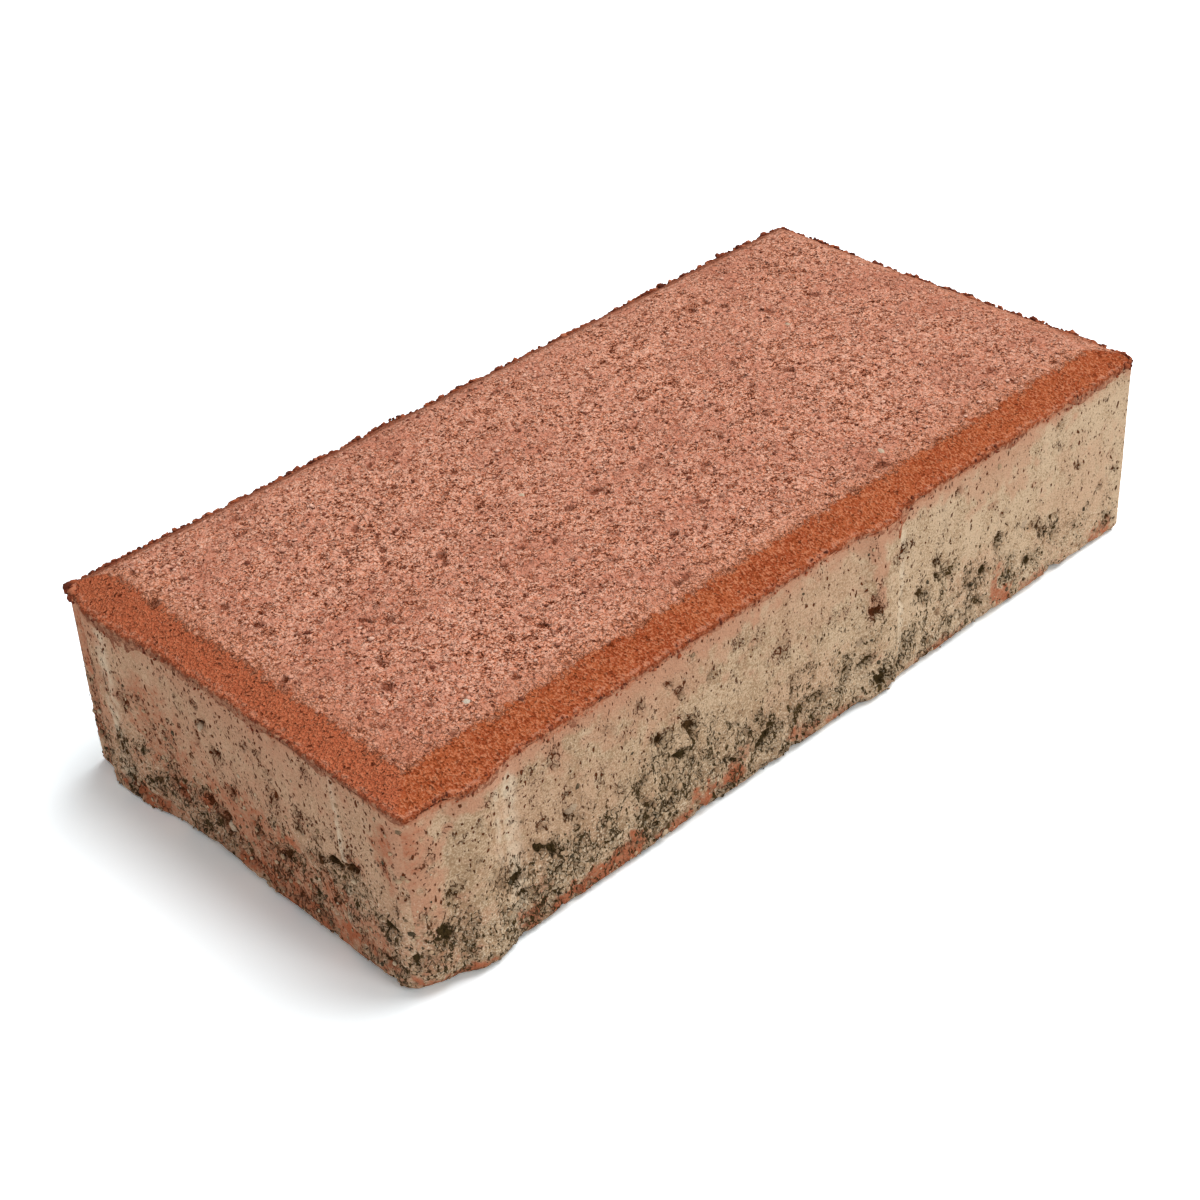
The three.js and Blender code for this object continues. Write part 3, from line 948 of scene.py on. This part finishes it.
def makePebbles(skins, settings):
    wanted = [(np.array([x, y, blockTop]), radius, tone) for x, y, radius, tone in settings["face"]]
    for name, along, level, radius, tone in settings["sides"]:
        axis, way = sideFacing[name]
        spot = np.array([along, along, level])
        spot[axis] = way * blockHalf[axis]
        wanted.append((spot, radius, tone))
    points = np.concatenate([skin["points"] for skin in skins])
    normals = np.concatenate([skin["normals"] for skin in skins])
    nearest = [np.argmin(np.linalg.norm(points - spot, axis=1)) for spot, radius, tone in wanted]
    sizes = np.array([radius for spot, radius, tone in wanted])
    tones = np.array([tone for spot, radius, tone in wanted])
    places = points[nearest] - normals[nearest] * (settings["bedded"] * sizes)[:, None]
    return makeLumps("palePebbles", places, normals[nearest], sizes, tones, settings)


rimCrumbs = makeRimCrumbs(faceSkin, rimCrumbSettings)
faceGrains = makeFaceGrains(faceSkin, faceGrainSettings)
sideGrit = makeSideGrit(bodySkin, sideGritSettings)
palePebbles = makePebbles([faceSkin, bodySkin], pebbleSettings)


# materials

class NodeDesk:
    # lays out the nodes of a material or a world, with short calls for the kinds used here

    def __init__(self, owner):
        owner.use_nodes = True
        self.owner = owner
        self.nodes = owner.node_tree.nodes
        self.links = owner.node_tree.links
        self.nodes.clear()

    def add(self, kind, inputs=None, **options):
        node = self.nodes.new(kind)
        for option, value in options.items():
            setattr(node, option, value)
        for socket, value in (inputs or {}).items():
            self.feed(node.inputs[socket], value)
        return node

    def feed(self, socket, value):
        if isinstance(value, bpy.types.NodeSocket):
            self.links.new(value, socket)
        elif isinstance(value, tuple) and len(value) == 3 and socket.type == "RGBA":
            socket.default_value = (*value, 1)
        else:
            socket.default_value = value

    def where(self):
        # the place on the stone, in mm
        place = self.add("ShaderNodeTexCoord").outputs["Object"]
        return self.add("ShaderNodeVectorMath", {0: place, "Scale": 1 / mm}, operation="SCALE").outputs[0]

    def number(self, label):
        return self.add("ShaderNodeAttribute", attribute_name=label).outputs["Fac"]

    def maths(self, operation, first, second=0.0, third=0.0):
        return self.add("ShaderNodeMath", {0: first, 1: second, 2: third}, operation=operation).outputs[0]

    def times(self, first, second):
        return self.maths("MULTIPLY", first, second)

    def highest(self, first, *others):
        for other in others:
            first = self.maths("MAXIMUM", first, other)
        return first

    def apart(self, value, middle):
        # how far a value is from the middle one, either way
        return self.maths("ABSOLUTE", self.maths("SUBTRACT", value, middle))

    def mixed(self, parts):
        # weighted sum of several values
        total = 0.0
        for value, weight in parts:
            total = self.maths("MULTIPLY_ADD", value, weight, total)
        return total

    def rise(self, value, low, high):
        # 0 below low, 1 above high; falls instead where low is the greater
        node = self.add("ShaderNodeMapRange", {"Value": value, "From Min": low, "From Max": high},
                        interpolation_type="SMOOTHSTEP", clamp=True)
        return node.outputs["Result"]

    def blend(self, share, under, over):
        # colour: its sockets have no names of their own, so they are taken by number
        node = self.add("ShaderNodeMix", data_type="RGBA")
        self.feed(node.inputs["Factor"], share)
        self.feed(node.inputs[6], under)
        self.feed(node.inputs[7], over)
        return node.outputs[2]

    def stretched(self, where, stretch):
        return self.add("ShaderNodeVectorMath", {0: where, 1: stretch}, operation="MULTIPLY").outputs[0]

    def warped(self, where, size, reach):
        # the same place pushed about by soft noise, so that repeats lose their even look
        push = self.add("ShaderNodeTexNoise", {"Vector": where, "Scale": 1 / size, "Detail": 1.0})
        centred = self.add("ShaderNodeVectorMath", {0: push.outputs["Color"], 1: (0.5, 0.5, 0.5)},
                           operation="SUBTRACT")
        moved = self.add("ShaderNodeVectorMath", {0: centred.outputs[0], "Scale": reach * 2},
                         operation="SCALE")
        return self.add("ShaderNodeVectorMath", {0: where, 1: moved.outputs[0]}, operation="ADD").outputs[0]

    def noise(self, where, size, detail=2.0, roughness=0.5):
        node = self.add("ShaderNodeTexNoise", {"Vector": where, "Scale": 1 / size, "Detail": detail,
                                               "Roughness": roughness})
        return node.outputs["Fac"]

    def cells(self, where, size):
        # distance from the middle of the nearest of many scattered cells
        return self.add("ShaderNodeTexVoronoi", {"Vector": where, "Scale": 1 / size}).outputs["Distance"]

    def cracks(self, where, size):
        # distance from the border between scattered cells
        return self.add("ShaderNodeTexVoronoi", {"Vector": where, "Scale": 1 / size},
                        feature="DISTANCE_TO_EDGE").outputs["Distance"]

    def holes(self, where, size, share, width):
        # round holes in a share of scattered cells, the widest "width" of a cell in radius
        cell = self.add("ShaderNodeTexVoronoi", {"Vector": where, "Scale": 1 / size})
        luck = self.add("ShaderNodeSeparateColor", {0: cell.outputs["Color"]}).outputs
        present = self.maths("GREATER_THAN", self.maths("ADD", luck[0], share), 1.0)
        radius = self.times(present, self.mixed([(luck[1], 0.6 * width), (width, 0.4)]))
        return self.rise(self.maths("SUBTRACT", cell.outputs["Distance"], radius), 0.0, -0.12)

    def finish(self, color, height, relief, roughness):
        bump = self.add("ShaderNodeBump", {"Height": height, "Strength": 1.0, "Distance": relief * mm})
        shader = self.add("ShaderNodeBsdfPrincipled", {
            "Base Color": color, "Normal": bump.outputs["Normal"], "Roughness": roughness,
            "Specular IOR Level": 0.04,
        })
        self.add("ShaderNodeOutputMaterial", {"Surface": shader.outputs["BSDF"]})
        return self.owner

    def seenRays(self):
        # 1 for what the camera sees straight, in a mirror or through glass, and 0 for other rays
        ray = self.add("ShaderNodeLightPath").outputs
        return self.highest(ray["Is Camera Ray"], ray["Is Glossy Ray"], ray["Is Transmission Ray"])

    def finishSeen(self, output, lit, seen):
        # one shader lights the stone, the other is what the camera sees
        choice = self.add("ShaderNodeMixShader", {"Fac": self.seenRays(), 1: lit, 2: seen})
        self.add(output, {"Surface": choice.outputs["Shader"]})
        return self.owner


pressedColors = {
    # linear colours
    # pale dust of the granule tops, which also carries their painted highlight
    "dustAndHighlight": (0.97, 0.535, 0.385),
    "paste": (0.77, 0.280, 0.158),
    "red": (0.50, 0.118, 0.054),
    # the cracks' own darker paste, which also carries the painted shade in them
    "seam": (0.27, 0.052, 0.017),
    # painted shade in hollows, cracks and small holes
    "creviceShade": (0.125, 0.020, 0.005),
    # pits and cracks painted darker the deeper they lie: their own darker red, and painted shade
    "pitShade": (0.19, 0.037, 0.012),
    # dark crumbs of the back brim, and the painted shade of the back slope
    "brimShade": (0.33, 0.088, 0.040),
    "chamferGlow": (0.66, 0.245, 0.125),
    "endGlow": (0.74, 0.200, 0.096),
    "chamferOchre": (0.46, 0.114, 0.041),
    "chamferRed": (0.37, 0.074, 0.025),
    # the chamfer's own dark specks, which also carry the painted shade in its pits
    "speckAndPitShade": (0.19, 0.030, 0.005),
    "lipPale": (0.74, 0.350, 0.225),
    "lipStain": (0.60, 0.280, 0.165),
    "crumb": (0.190, 0.040, 0.016),
}


def makePressedRed(colors):
    desk = NodeDesk(bpy.data.materials.new("pressedRed"))
    where = desk.where()
    past = desk.number("past")
    lip = desk.number("lip")
    depth = desk.number("depth")
    fine = desk.noise(where, 0.40, 1.0, 0.5)
    sand = desk.noise(where, 0.95, 2.0, 0.6)
    tuft = desk.noise(where, 3.2, 2.0, 0.6)
    cloud = desk.noise(where, 20.0, 2.0, 0.5)
    smallDome = desk.cells(desk.warped(where, 0.8, 0.15), 0.62)

    # the flat: dusty granules with broken dark cracks; tops painted lighter as highlight, hollows and cracks
    # painted darker as shade
    curdled = desk.warped(desk.warped(where, 2.2, 0.8), 0.8, 0.5)
    lumpHollow = desk.cells(curdled, 1.35)
    winding = desk.apart(desk.noise(curdled, 1.2, 1.0, 0.5), 0.5)
    curl = desk.apart(desk.noise(desk.stretched(curdled, (1, 1, 1.7)), 0.75, 0.0), 0.52)
    seam = desk.highest(desk.rise(winding, 0.045, 0.0), desk.rise(curl, 0.05, 0.0))
    seam = desk.times(seam, desk.rise(desk.mixed([(sand, 0.8), (tuft, 0.5)]), 0.78, 0.50))
    grain = desk.mixed([(fine, 1.4), (sand, 0.50), (tuft, 0.85), (cloud, 0.40), (lumpHollow, -0.25),
                        (smallDome, -0.25), (-0.18, 1.0)])
    # granule tops painted lighter: partly pale dust, partly painted highlight
    face = desk.blend(desk.rise(grain, 0.97, 1.31), colors["paste"], colors["dustAndHighlight"])
    # the cracks painted dark: partly their own darker paste, partly painted shade
    face = desk.blend(desk.times(seam, 0.90), face, colors["seam"])
    # hollows between granules painted dark as shade
    face = desk.blend(desk.rise(grain, 0.98, 0.72), face, colors["creviceShade"])
    redness = desk.rise(desk.mixed([(cloud, 0.5), (tuft, 0.7)]), 0.54, 0.76)
    face = desk.blend(desk.times(redness, 0.60), face, colors["red"])
    face = desk.blend(desk.times(desk.rise(past, -9.0, 1.0), 0.35), face, colors["chamferGlow"])
    crowd = desk.mixed([(desk.noise(where, 6.0, 2.0, 0.6), 2.2), (sand, 0.6), (-1.20, 1.0)])
    pitted = desk.holes(curdled, 0.85, crowd, 0.46)
    # small pits painted dark as the shade inside them
    face = desk.blend(desk.times(pitted, 0.9), face, colors["creviceShade"])
    # the deeper a pit or crack, the darker it is painted: partly its own darker red, partly painted shade
    sunk = desk.mixed([(depth, 1.0), (fine, 0.6), (sand, 0.5), (-0.55, 1.0)])
    face = desk.blend(desk.times(desk.rise(sunk, 0.14, 0.50), 0.68), face, colors["pitShade"])

    # the chamfer: rubbed smooth and felty by the press shoe, more orange
    acrossFront = desk.noise(desk.stretched(where, (1.0, 0.55, 0.7)), 0.42, 1.0, 0.5)
    acrossEnds = desk.noise(desk.stretched(where, (0.55, 1.0, 0.7)), 0.42, 1.0, 0.5)
    ends = desk.number("ends")
    hairs = desk.mixed([(acrossFront, 1.0), (desk.times(ends, acrossFront), -1.0),
                        (desk.times(ends, acrossEnds), 1.0)])
    felt = desk.mixed([(hairs, 0.7), (fine, 0.8), (sand, 0.5)])                     # about 1.0
    clots = desk.noise(where, 2.0, 3.0, 0.75)
    band = desk.blend(desk.rise(desk.mixed([(clots, 1.0), (cloud, 0.4)]), 0.56, 0.84),
                      colors["chamferRed"], colors["chamferOchre"])
    band = desk.blend(desk.times(desk.rise(felt, 0.99, 1.18), 0.72), band, colors["chamferGlow"])
    specks = desk.times(desk.rise(felt, 0.95, 0.79), desk.mixed([(ends, 0.20), (0.70, 1.0)]))
    band = desk.blend(specks, band, colors["speckAndPitShade"])
    band = desk.blend(desk.times(ends, 0.44), band, colors["endGlow"])
    sparse = desk.mixed([(crowd, 0.5), (clots, -1.2), (ends, 0.14), (0.75, 1.0)])
    # small holes in the chamfer, painted dark as the shade inside them
    spotted = desk.holes(curdled, 0.9, sparse, 0.44)
    band = desk.blend(desk.times(spotted, desk.mixed([(ends, 0.25), (0.6, 1.0)])), band, colors["creviceShade"])
    # pits in the chamfer painted darker the deeper they lie, as shade
    band = desk.blend(desk.times(desk.rise(depth, 0.10, 0.32), 0.8), band, colors["speckAndPitShade"])

    # the broken lower edge
    crumble = desk.noise(where, 1.2, 2.0, 0.6)
    low = desk.mixed([(lip, 1.0), (crumble, 2.6), (tuft, 1.6), (ends, 0.5)])        # lip + about 2.1
    line = desk.times(desk.rise(low, 0.9, 1.5), desk.rise(low, 2.3, 1.9))
    line = desk.times(line, desk.rise(crumble, 0.44, 0.60))
    edge = desk.blend(desk.times(line, 0.45), band, colors["lipPale"])
    stained = desk.times(desk.rise(low, 2.2, 3.2), desk.rise(lip, 5.0, 2.5))
    edge = desk.blend(stained, edge, colors["lipStain"])
    crumbs = desk.highest(desk.rise(crumble, 0.56, 0.46), desk.holes(curdled, 1.1, 0.55, 0.5))
    crumbs = desk.times(desk.rise(low, 1.3, 2.2), crumbs)
    edge = desk.blend(desk.times(crumbs, 0.50), edge, colors["crumb"])

    # the dusty granules spill raggedly over the crest
    crestEdge = desk.mixed([(past, 1.0), (crumble, 4.4), (tuft, 4.6), (fine, 3.4)])     # past + about 6
    isTop = desk.rise(crestEdge, 7.0, 6.3)
    color = desk.blend(isTop, edge, face)
    # the torn brim at the back painted dark: partly its crumbs, partly shade on a slope that faces away from
    # the lamps
    color = desk.blend(desk.times(desk.number("brimShade"), 0.75), color, colors["brimShade"])
    granular = desk.mixed([(lumpHollow, -0.45), (smallDome, -0.25), (fine, 0.65), (tuft, 0.45),
                           (seam, -0.40), (0.45, 1.0)])
    felty = desk.mixed([(hairs, 0.30), (fine, 0.45), (sand, 0.50), (clots, 0.6), (spotted, -0.3)])
    felty = desk.times(felty, desk.mixed([(ends, 0.7), (1.0, 1.0)]))
    height = desk.mixed([(desk.times(isTop, granular), 1.0), (felty, 1.0), (desk.times(isTop, felty), -1.0),
                         (pitted, -0.5)])
    return desk.finish(color, height, 1.0, 0.94)


skinColors = {
    "cream": (0.76, 0.565, 0.375),
    "buff": (0.46, 0.296, 0.172),
    "blush": (0.63, 0.310, 0.190),
    "rust": (0.50, 0.136, 0.057),
    "olive": (0.28, 0.200, 0.110),
    # pale grit, also used for painted highlight
    "gritAndHighlight": (0.90, 0.74, 0.54),
    "endPaste": (0.78, 0.43, 0.28),
    # painted shade inside holes: reddish near the face, grey lower down
    "redHole": (0.150, 0.044, 0.016),
    "darkHole": (0.092, 0.058, 0.022),
    "underside": (0.40, 0.31, 0.22),
}


def makeCastSkin(colors):
    # cement skin drawn up the mould wall, blushed near the top, holed and rusty lower down
    desk = NodeDesk(bpy.data.materials.new("castSkin"))
    where = desk.where()
    rim = desk.number("rim")
    depth = desk.number("depth")
    rough = desk.number("rough")
    halo = desk.number("halo")
    rust = desk.number("rust")
    blush = desk.number("blush")
    level = desk.number("level")
    endShare = desk.number("endShare")
    under = desk.number("under")
    fine = desk.noise(where, 0.40, 1.0, 0.5)
    sand = desk.noise(where, 1.0, 2.0, 0.6)
    mottle = desk.noise(where, 4.0, 2.0, 0.6)
    dragged = desk.noise(desk.stretched(where, (1.0, 1.0, 0.14)), 5.0, 2.0, 0.6)
    upright = desk.stretched(where, (1.0, 1.0, 0.60))
    bent = desk.warped(desk.warped(upright, 2.0, 0.6), 0.45, 0.28)
    cluster = desk.noise(upright, 4.6, 3.0, 0.55)
    torn = desk.noise(bent, 1.5, 2.0, 0.65)
    lumpy = desk.warped(where, 1.0, 0.5)
    lump = desk.cells(lumpy, 1.5)
    seam = desk.times(desk.rise(desk.cracks(lumpy, 1.5), 0.17, 0.02), desk.rise(sand, 0.60, 0.40))

    pale = desk.number("pale")
    tone = desk.mixed([(fine, 0.95), (sand, 0.50), (mottle, 0.45), (dragged, 0.35), (pale, 0.12)])
    skin = desk.blend(desk.rise(tone, 0.92, 1.34), colors["buff"], colors["cream"])
    skin = desk.blend(desk.times(endShare, 0.35), skin, colors["endPaste"])
    # painted highlight on the lit flanks of the nibs and on small ridges
    skin = desk.blend(desk.times(desk.number("litStreak"), 0.75), skin, colors["gritAndHighlight"])
    stain = desk.mixed([(blush, 0.8), (mottle, 0.4), (sand, 0.25), (desk.rise(rim, 8.0, 0.0), 0.4)])
    skin = desk.blend(desk.times(desk.rise(stain, 0.25, 1.30), 0.85), skin, colors["blush"])

    # grey and open lower down
    crowd = desk.mixed([(cluster, 1.3), (rough, 0.20), (halo, 0.22), (endShare, -0.09), (pale, -0.14),
                        (desk.rise(rim, 6.0, 1.0), -0.1)])
    crowd = desk.rise(crowd, 0.56, 1.04)
    grey = desk.mixed([(crowd, 0.5), (rough, 0.20), (sand, 0.7), (mottle, 0.7)])
    skin = desk.blend(desk.times(desk.rise(grey, 0.85, 1.65), 0.45), skin, colors["olive"])
    # pale specks where the fine relief stands up: partly pale grit, partly painted highlight
    bright = desk.rise(desk.mixed([(fine, 1.0), (rough, 0.20)]), 0.70, 0.88)
    skin = desk.blend(desk.times(bright, 0.7), skin, colors["gritAndHighlight"])

    # red paste: along the foot, in the stains, and where the lip has smeared
    footed = desk.mixed([(rust, 0.8), (sand, 0.9), (fine, 0.6), (mottle, 0.6),
                         (desk.rise(level, 4.0, 0.5), 0.30), (endShare, 0.16)])
    red = desk.rise(footed, 1.16, 2.00)
    skin = desk.blend(desk.times(red, 0.9), skin, colors["rust"])
    fringe = desk.mixed([(rim, 1.0), (sand, 2.6), (mottle, 2.6), (fine, 1.6)])            # rim + about 3.4
    skin = desk.blend(desk.times(desk.rise(fringe, 5.6, 3.4), 0.8), skin, colors["rust"])
    skin = desk.blend(desk.times(under, 0.7), skin, colors["underside"])

    # holes: pinpricks, pores, torn places and open voids, painted dark as the shade inside them
    calm = desk.times(red, -0.18)
    pinShare = desk.mixed([(crowd, 0.34), (calm, 1.0), (endShare, 0.12), (0.25, 1.0)])
    pins = desk.holes(bent, 0.62, pinShare, 0.45)
    poreShare = desk.mixed([(crowd, 0.38), (calm, 1.0), (endShare, 0.13), (0.14, 1.0)])
    pores = desk.holes(bent, 1.10, poreShare, 0.40)
    tears = desk.rise(desk.mixed([(torn, 1.0), (crowd, -0.10), (rough, -0.02), (fine, 0.10)]), 0.345, 0.285)
    voids = desk.rise(desk.mixed([(depth, 0.8), (fine, 0.9), (sand, 0.7)]), 1.22, 1.50)
    crowdedSeam = desk.times(seam, crowd)
    worms = desk.rise(desk.apart(desk.noise(bent, 1.7, 1.0, 0.5), 0.5), 0.035, 0.010)
    worms = desk.times(worms, desk.rise(desk.mixed([(crowd, 0.5), (sand, 1.0)]), 0.64, 0.80))
    holes = desk.highest(pins, pores, tears, voids, desk.times(crowdedSeam, 0.35), worms)
    greyness = desk.mixed([(rough, 1.0), (blush, -0.5), (rust, -0.6), (endShare, -0.30)])
    holeShade = desk.blend(desk.rise(greyness, -0.2, 0.5), colors["redHole"], colors["darkHole"])
    skin = desk.blend(holes, skin, holeShade)
    height = desk.mixed([(fine, 0.40), (sand, 0.50), (pins, -0.35), (pores, -0.6), (tears, -0.6),
                         (worms, -0.5), (desk.times(lump, crowd), -0.8), (crowdedSeam, -0.3)])
    return desk.finish(skin, height, 0.8, 0.92)


crumbColors = {
    "dark": (0.12, 0.032, 0.019),
    "brown": (0.24, 0.058, 0.029),
    "red": (0.40, 0.105, 0.046),
    "bright": (0.60, 0.21, 0.11),
}

faceGrainColors = {
    "dark": (0.22, 0.065, 0.038),
    "brown": (0.58, 0.24, 0.155),
    "red": (0.82, 0.41, 0.29),
    "bright": (0.93, 0.56, 0.42),
}

sideGritColors = {
    "dark": (0.09, 0.070, 0.042),
    "brown": (0.42, 0.27, 0.16),
    "red": (0.62, 0.42, 0.26),
    "bright": (0.74, 0.57, 0.39),
}

pebbleColors = {
    "dark": (0.30, 0.24, 0.16),
    "brown": (0.50, 0.36, 0.24),
    "red": (0.66, 0.50, 0.36),
    "bright": (0.66, 0.57, 0.46),
}


def makeGrains(name, colors, footShade):
    # four colours shared out by each grain's own tone; the bedded foot of a grain is painted darker as shade,
    # where it meets the surface
    desk = NodeDesk(bpy.data.materials.new(name))
    where = desk.where()
    tone = desk.number("tone")
    crown = desk.number("crown")
    fine = desk.noise(where, 0.35, 2.0, 0.6)
    shade = desk.mixed([(tone, 1.0), (fine, 0.3)])
    color = desk.blend(desk.rise(shade, 0.20, 0.45), colors["dark"], colors["brown"])
    color = desk.blend(desk.rise(shade, 0.55, 0.80), color, colors["red"])
    color = desk.blend(desk.rise(shade, 0.95, 1.15), color, colors["bright"])
    # painted shade on the low, bedded part of the grain
    color = desk.blend(desk.times(desk.rise(crown, 0.35, -0.1), footShade), color, colors["dark"])
    return desk.finish(color, fine, 0.3, 0.9)


pressedFace.data.materials.append(makePressedRed(pressedColors))
castBody.data.materials.append(makeCastSkin(skinColors))
# the last number: how strongly the foot of each grain is painted darker as shade
rimCrumbs.data.materials.append(makeGrains("crumbRed", crumbColors, 0.6))
faceGrains.data.materials.append(makeGrains("sandRed", faceGrainColors, 0.8))
sideGrit.data.materials.append(makeGrains("gritBuff", sideGritColors, 0.7))
palePebbles.data.materials.append(makeGrains("pebblePale", pebbleColors, 0.5))
print("materials mixed")


# floor, lamps and world

studioSettings = {
    "floorSize": 6.0,          # m
    "floorColor": (0.85, 0.85, 0.85),
    "floorSeen": (1.59, 1.69, 1.74),   # paint of the floor in the camera's view: cool, against the red glow
    # lamps: place, power, width
    "lamps": {
        "keyLamp": ((0.68, -0.14, 1.45), 22.4, 1.5),
        "frontLamp": ((0.10, -1.35, 0.75), 4.5, 0.6),
        "sideLamp": ((-1.30, 0.05, 0.20), 1.6, 0.4),
    },
    "aim": (0, 0, 0.02),
    "skyStrength": 0.30,       # light of the sky on the stone
    "skySeen": 1.0,            # and the sky in the camera's view
}


def makeFloor(settings):
    mesh = bpy.data.meshes.new("studioFloor")
    reach = settings["floorSize"] / 2
    mesh.from_pydata([(-reach, -reach, 0), (reach, -reach, 0), (reach, reach, 0), (-reach, reach, 0)], [],
                     [(0, 1, 2, 3)])
    floor = bpy.data.objects.new("studioFloor", mesh)
    bpy.context.scene.collection.objects.link(floor)
    desk = NodeDesk(bpy.data.materials.new("paleFloor"))
    lit = desk.add("ShaderNodeBsdfDiffuse", {"Color": settings["floorColor"]}).outputs["BSDF"]
    seen = desk.add("ShaderNodeBsdfDiffuse", {"Color": settings["floorSeen"]}).outputs["BSDF"]
    mesh.materials.append(desk.finishSeen("ShaderNodeOutputMaterial", lit, seen))


def makeLamps(settings):
    for name, (place, power, width) in settings["lamps"].items():
        lamp = bpy.data.lights.new(name, "AREA")
        lamp.shape = "DISK"
        lamp.size = width
        lamp.energy = power
        holder = bpy.data.objects.new(name, lamp)
        holder.location = place
        aim = Vector(settings["aim"]) - Vector(place)
        holder.rotation_euler = aim.to_track_quat("-Z", "Y").to_euler()
        bpy.context.scene.collection.objects.link(holder)


def makeWorld(settings):
    desk = NodeDesk(bpy.data.worlds.new("studioWorld"))
    white = (1.0, 1.0, 1.0)
    lit = desk.add("ShaderNodeBackground", {"Color": white, "Strength": settings["skyStrength"]})
    seen = desk.add("ShaderNodeBackground", {"Color": white, "Strength": settings["skySeen"]})
    bpy.context.scene.world = desk.finishSeen("ShaderNodeOutputWorld", lit.outputs["Background"],
                                              seen.outputs["Background"])


makeFloor(studioSettings)
makeLamps(studioSettings)
makeWorld(studioSettings)
bpy.context.scene.view_settings.view_transform = "Standard"
print("studio lit")
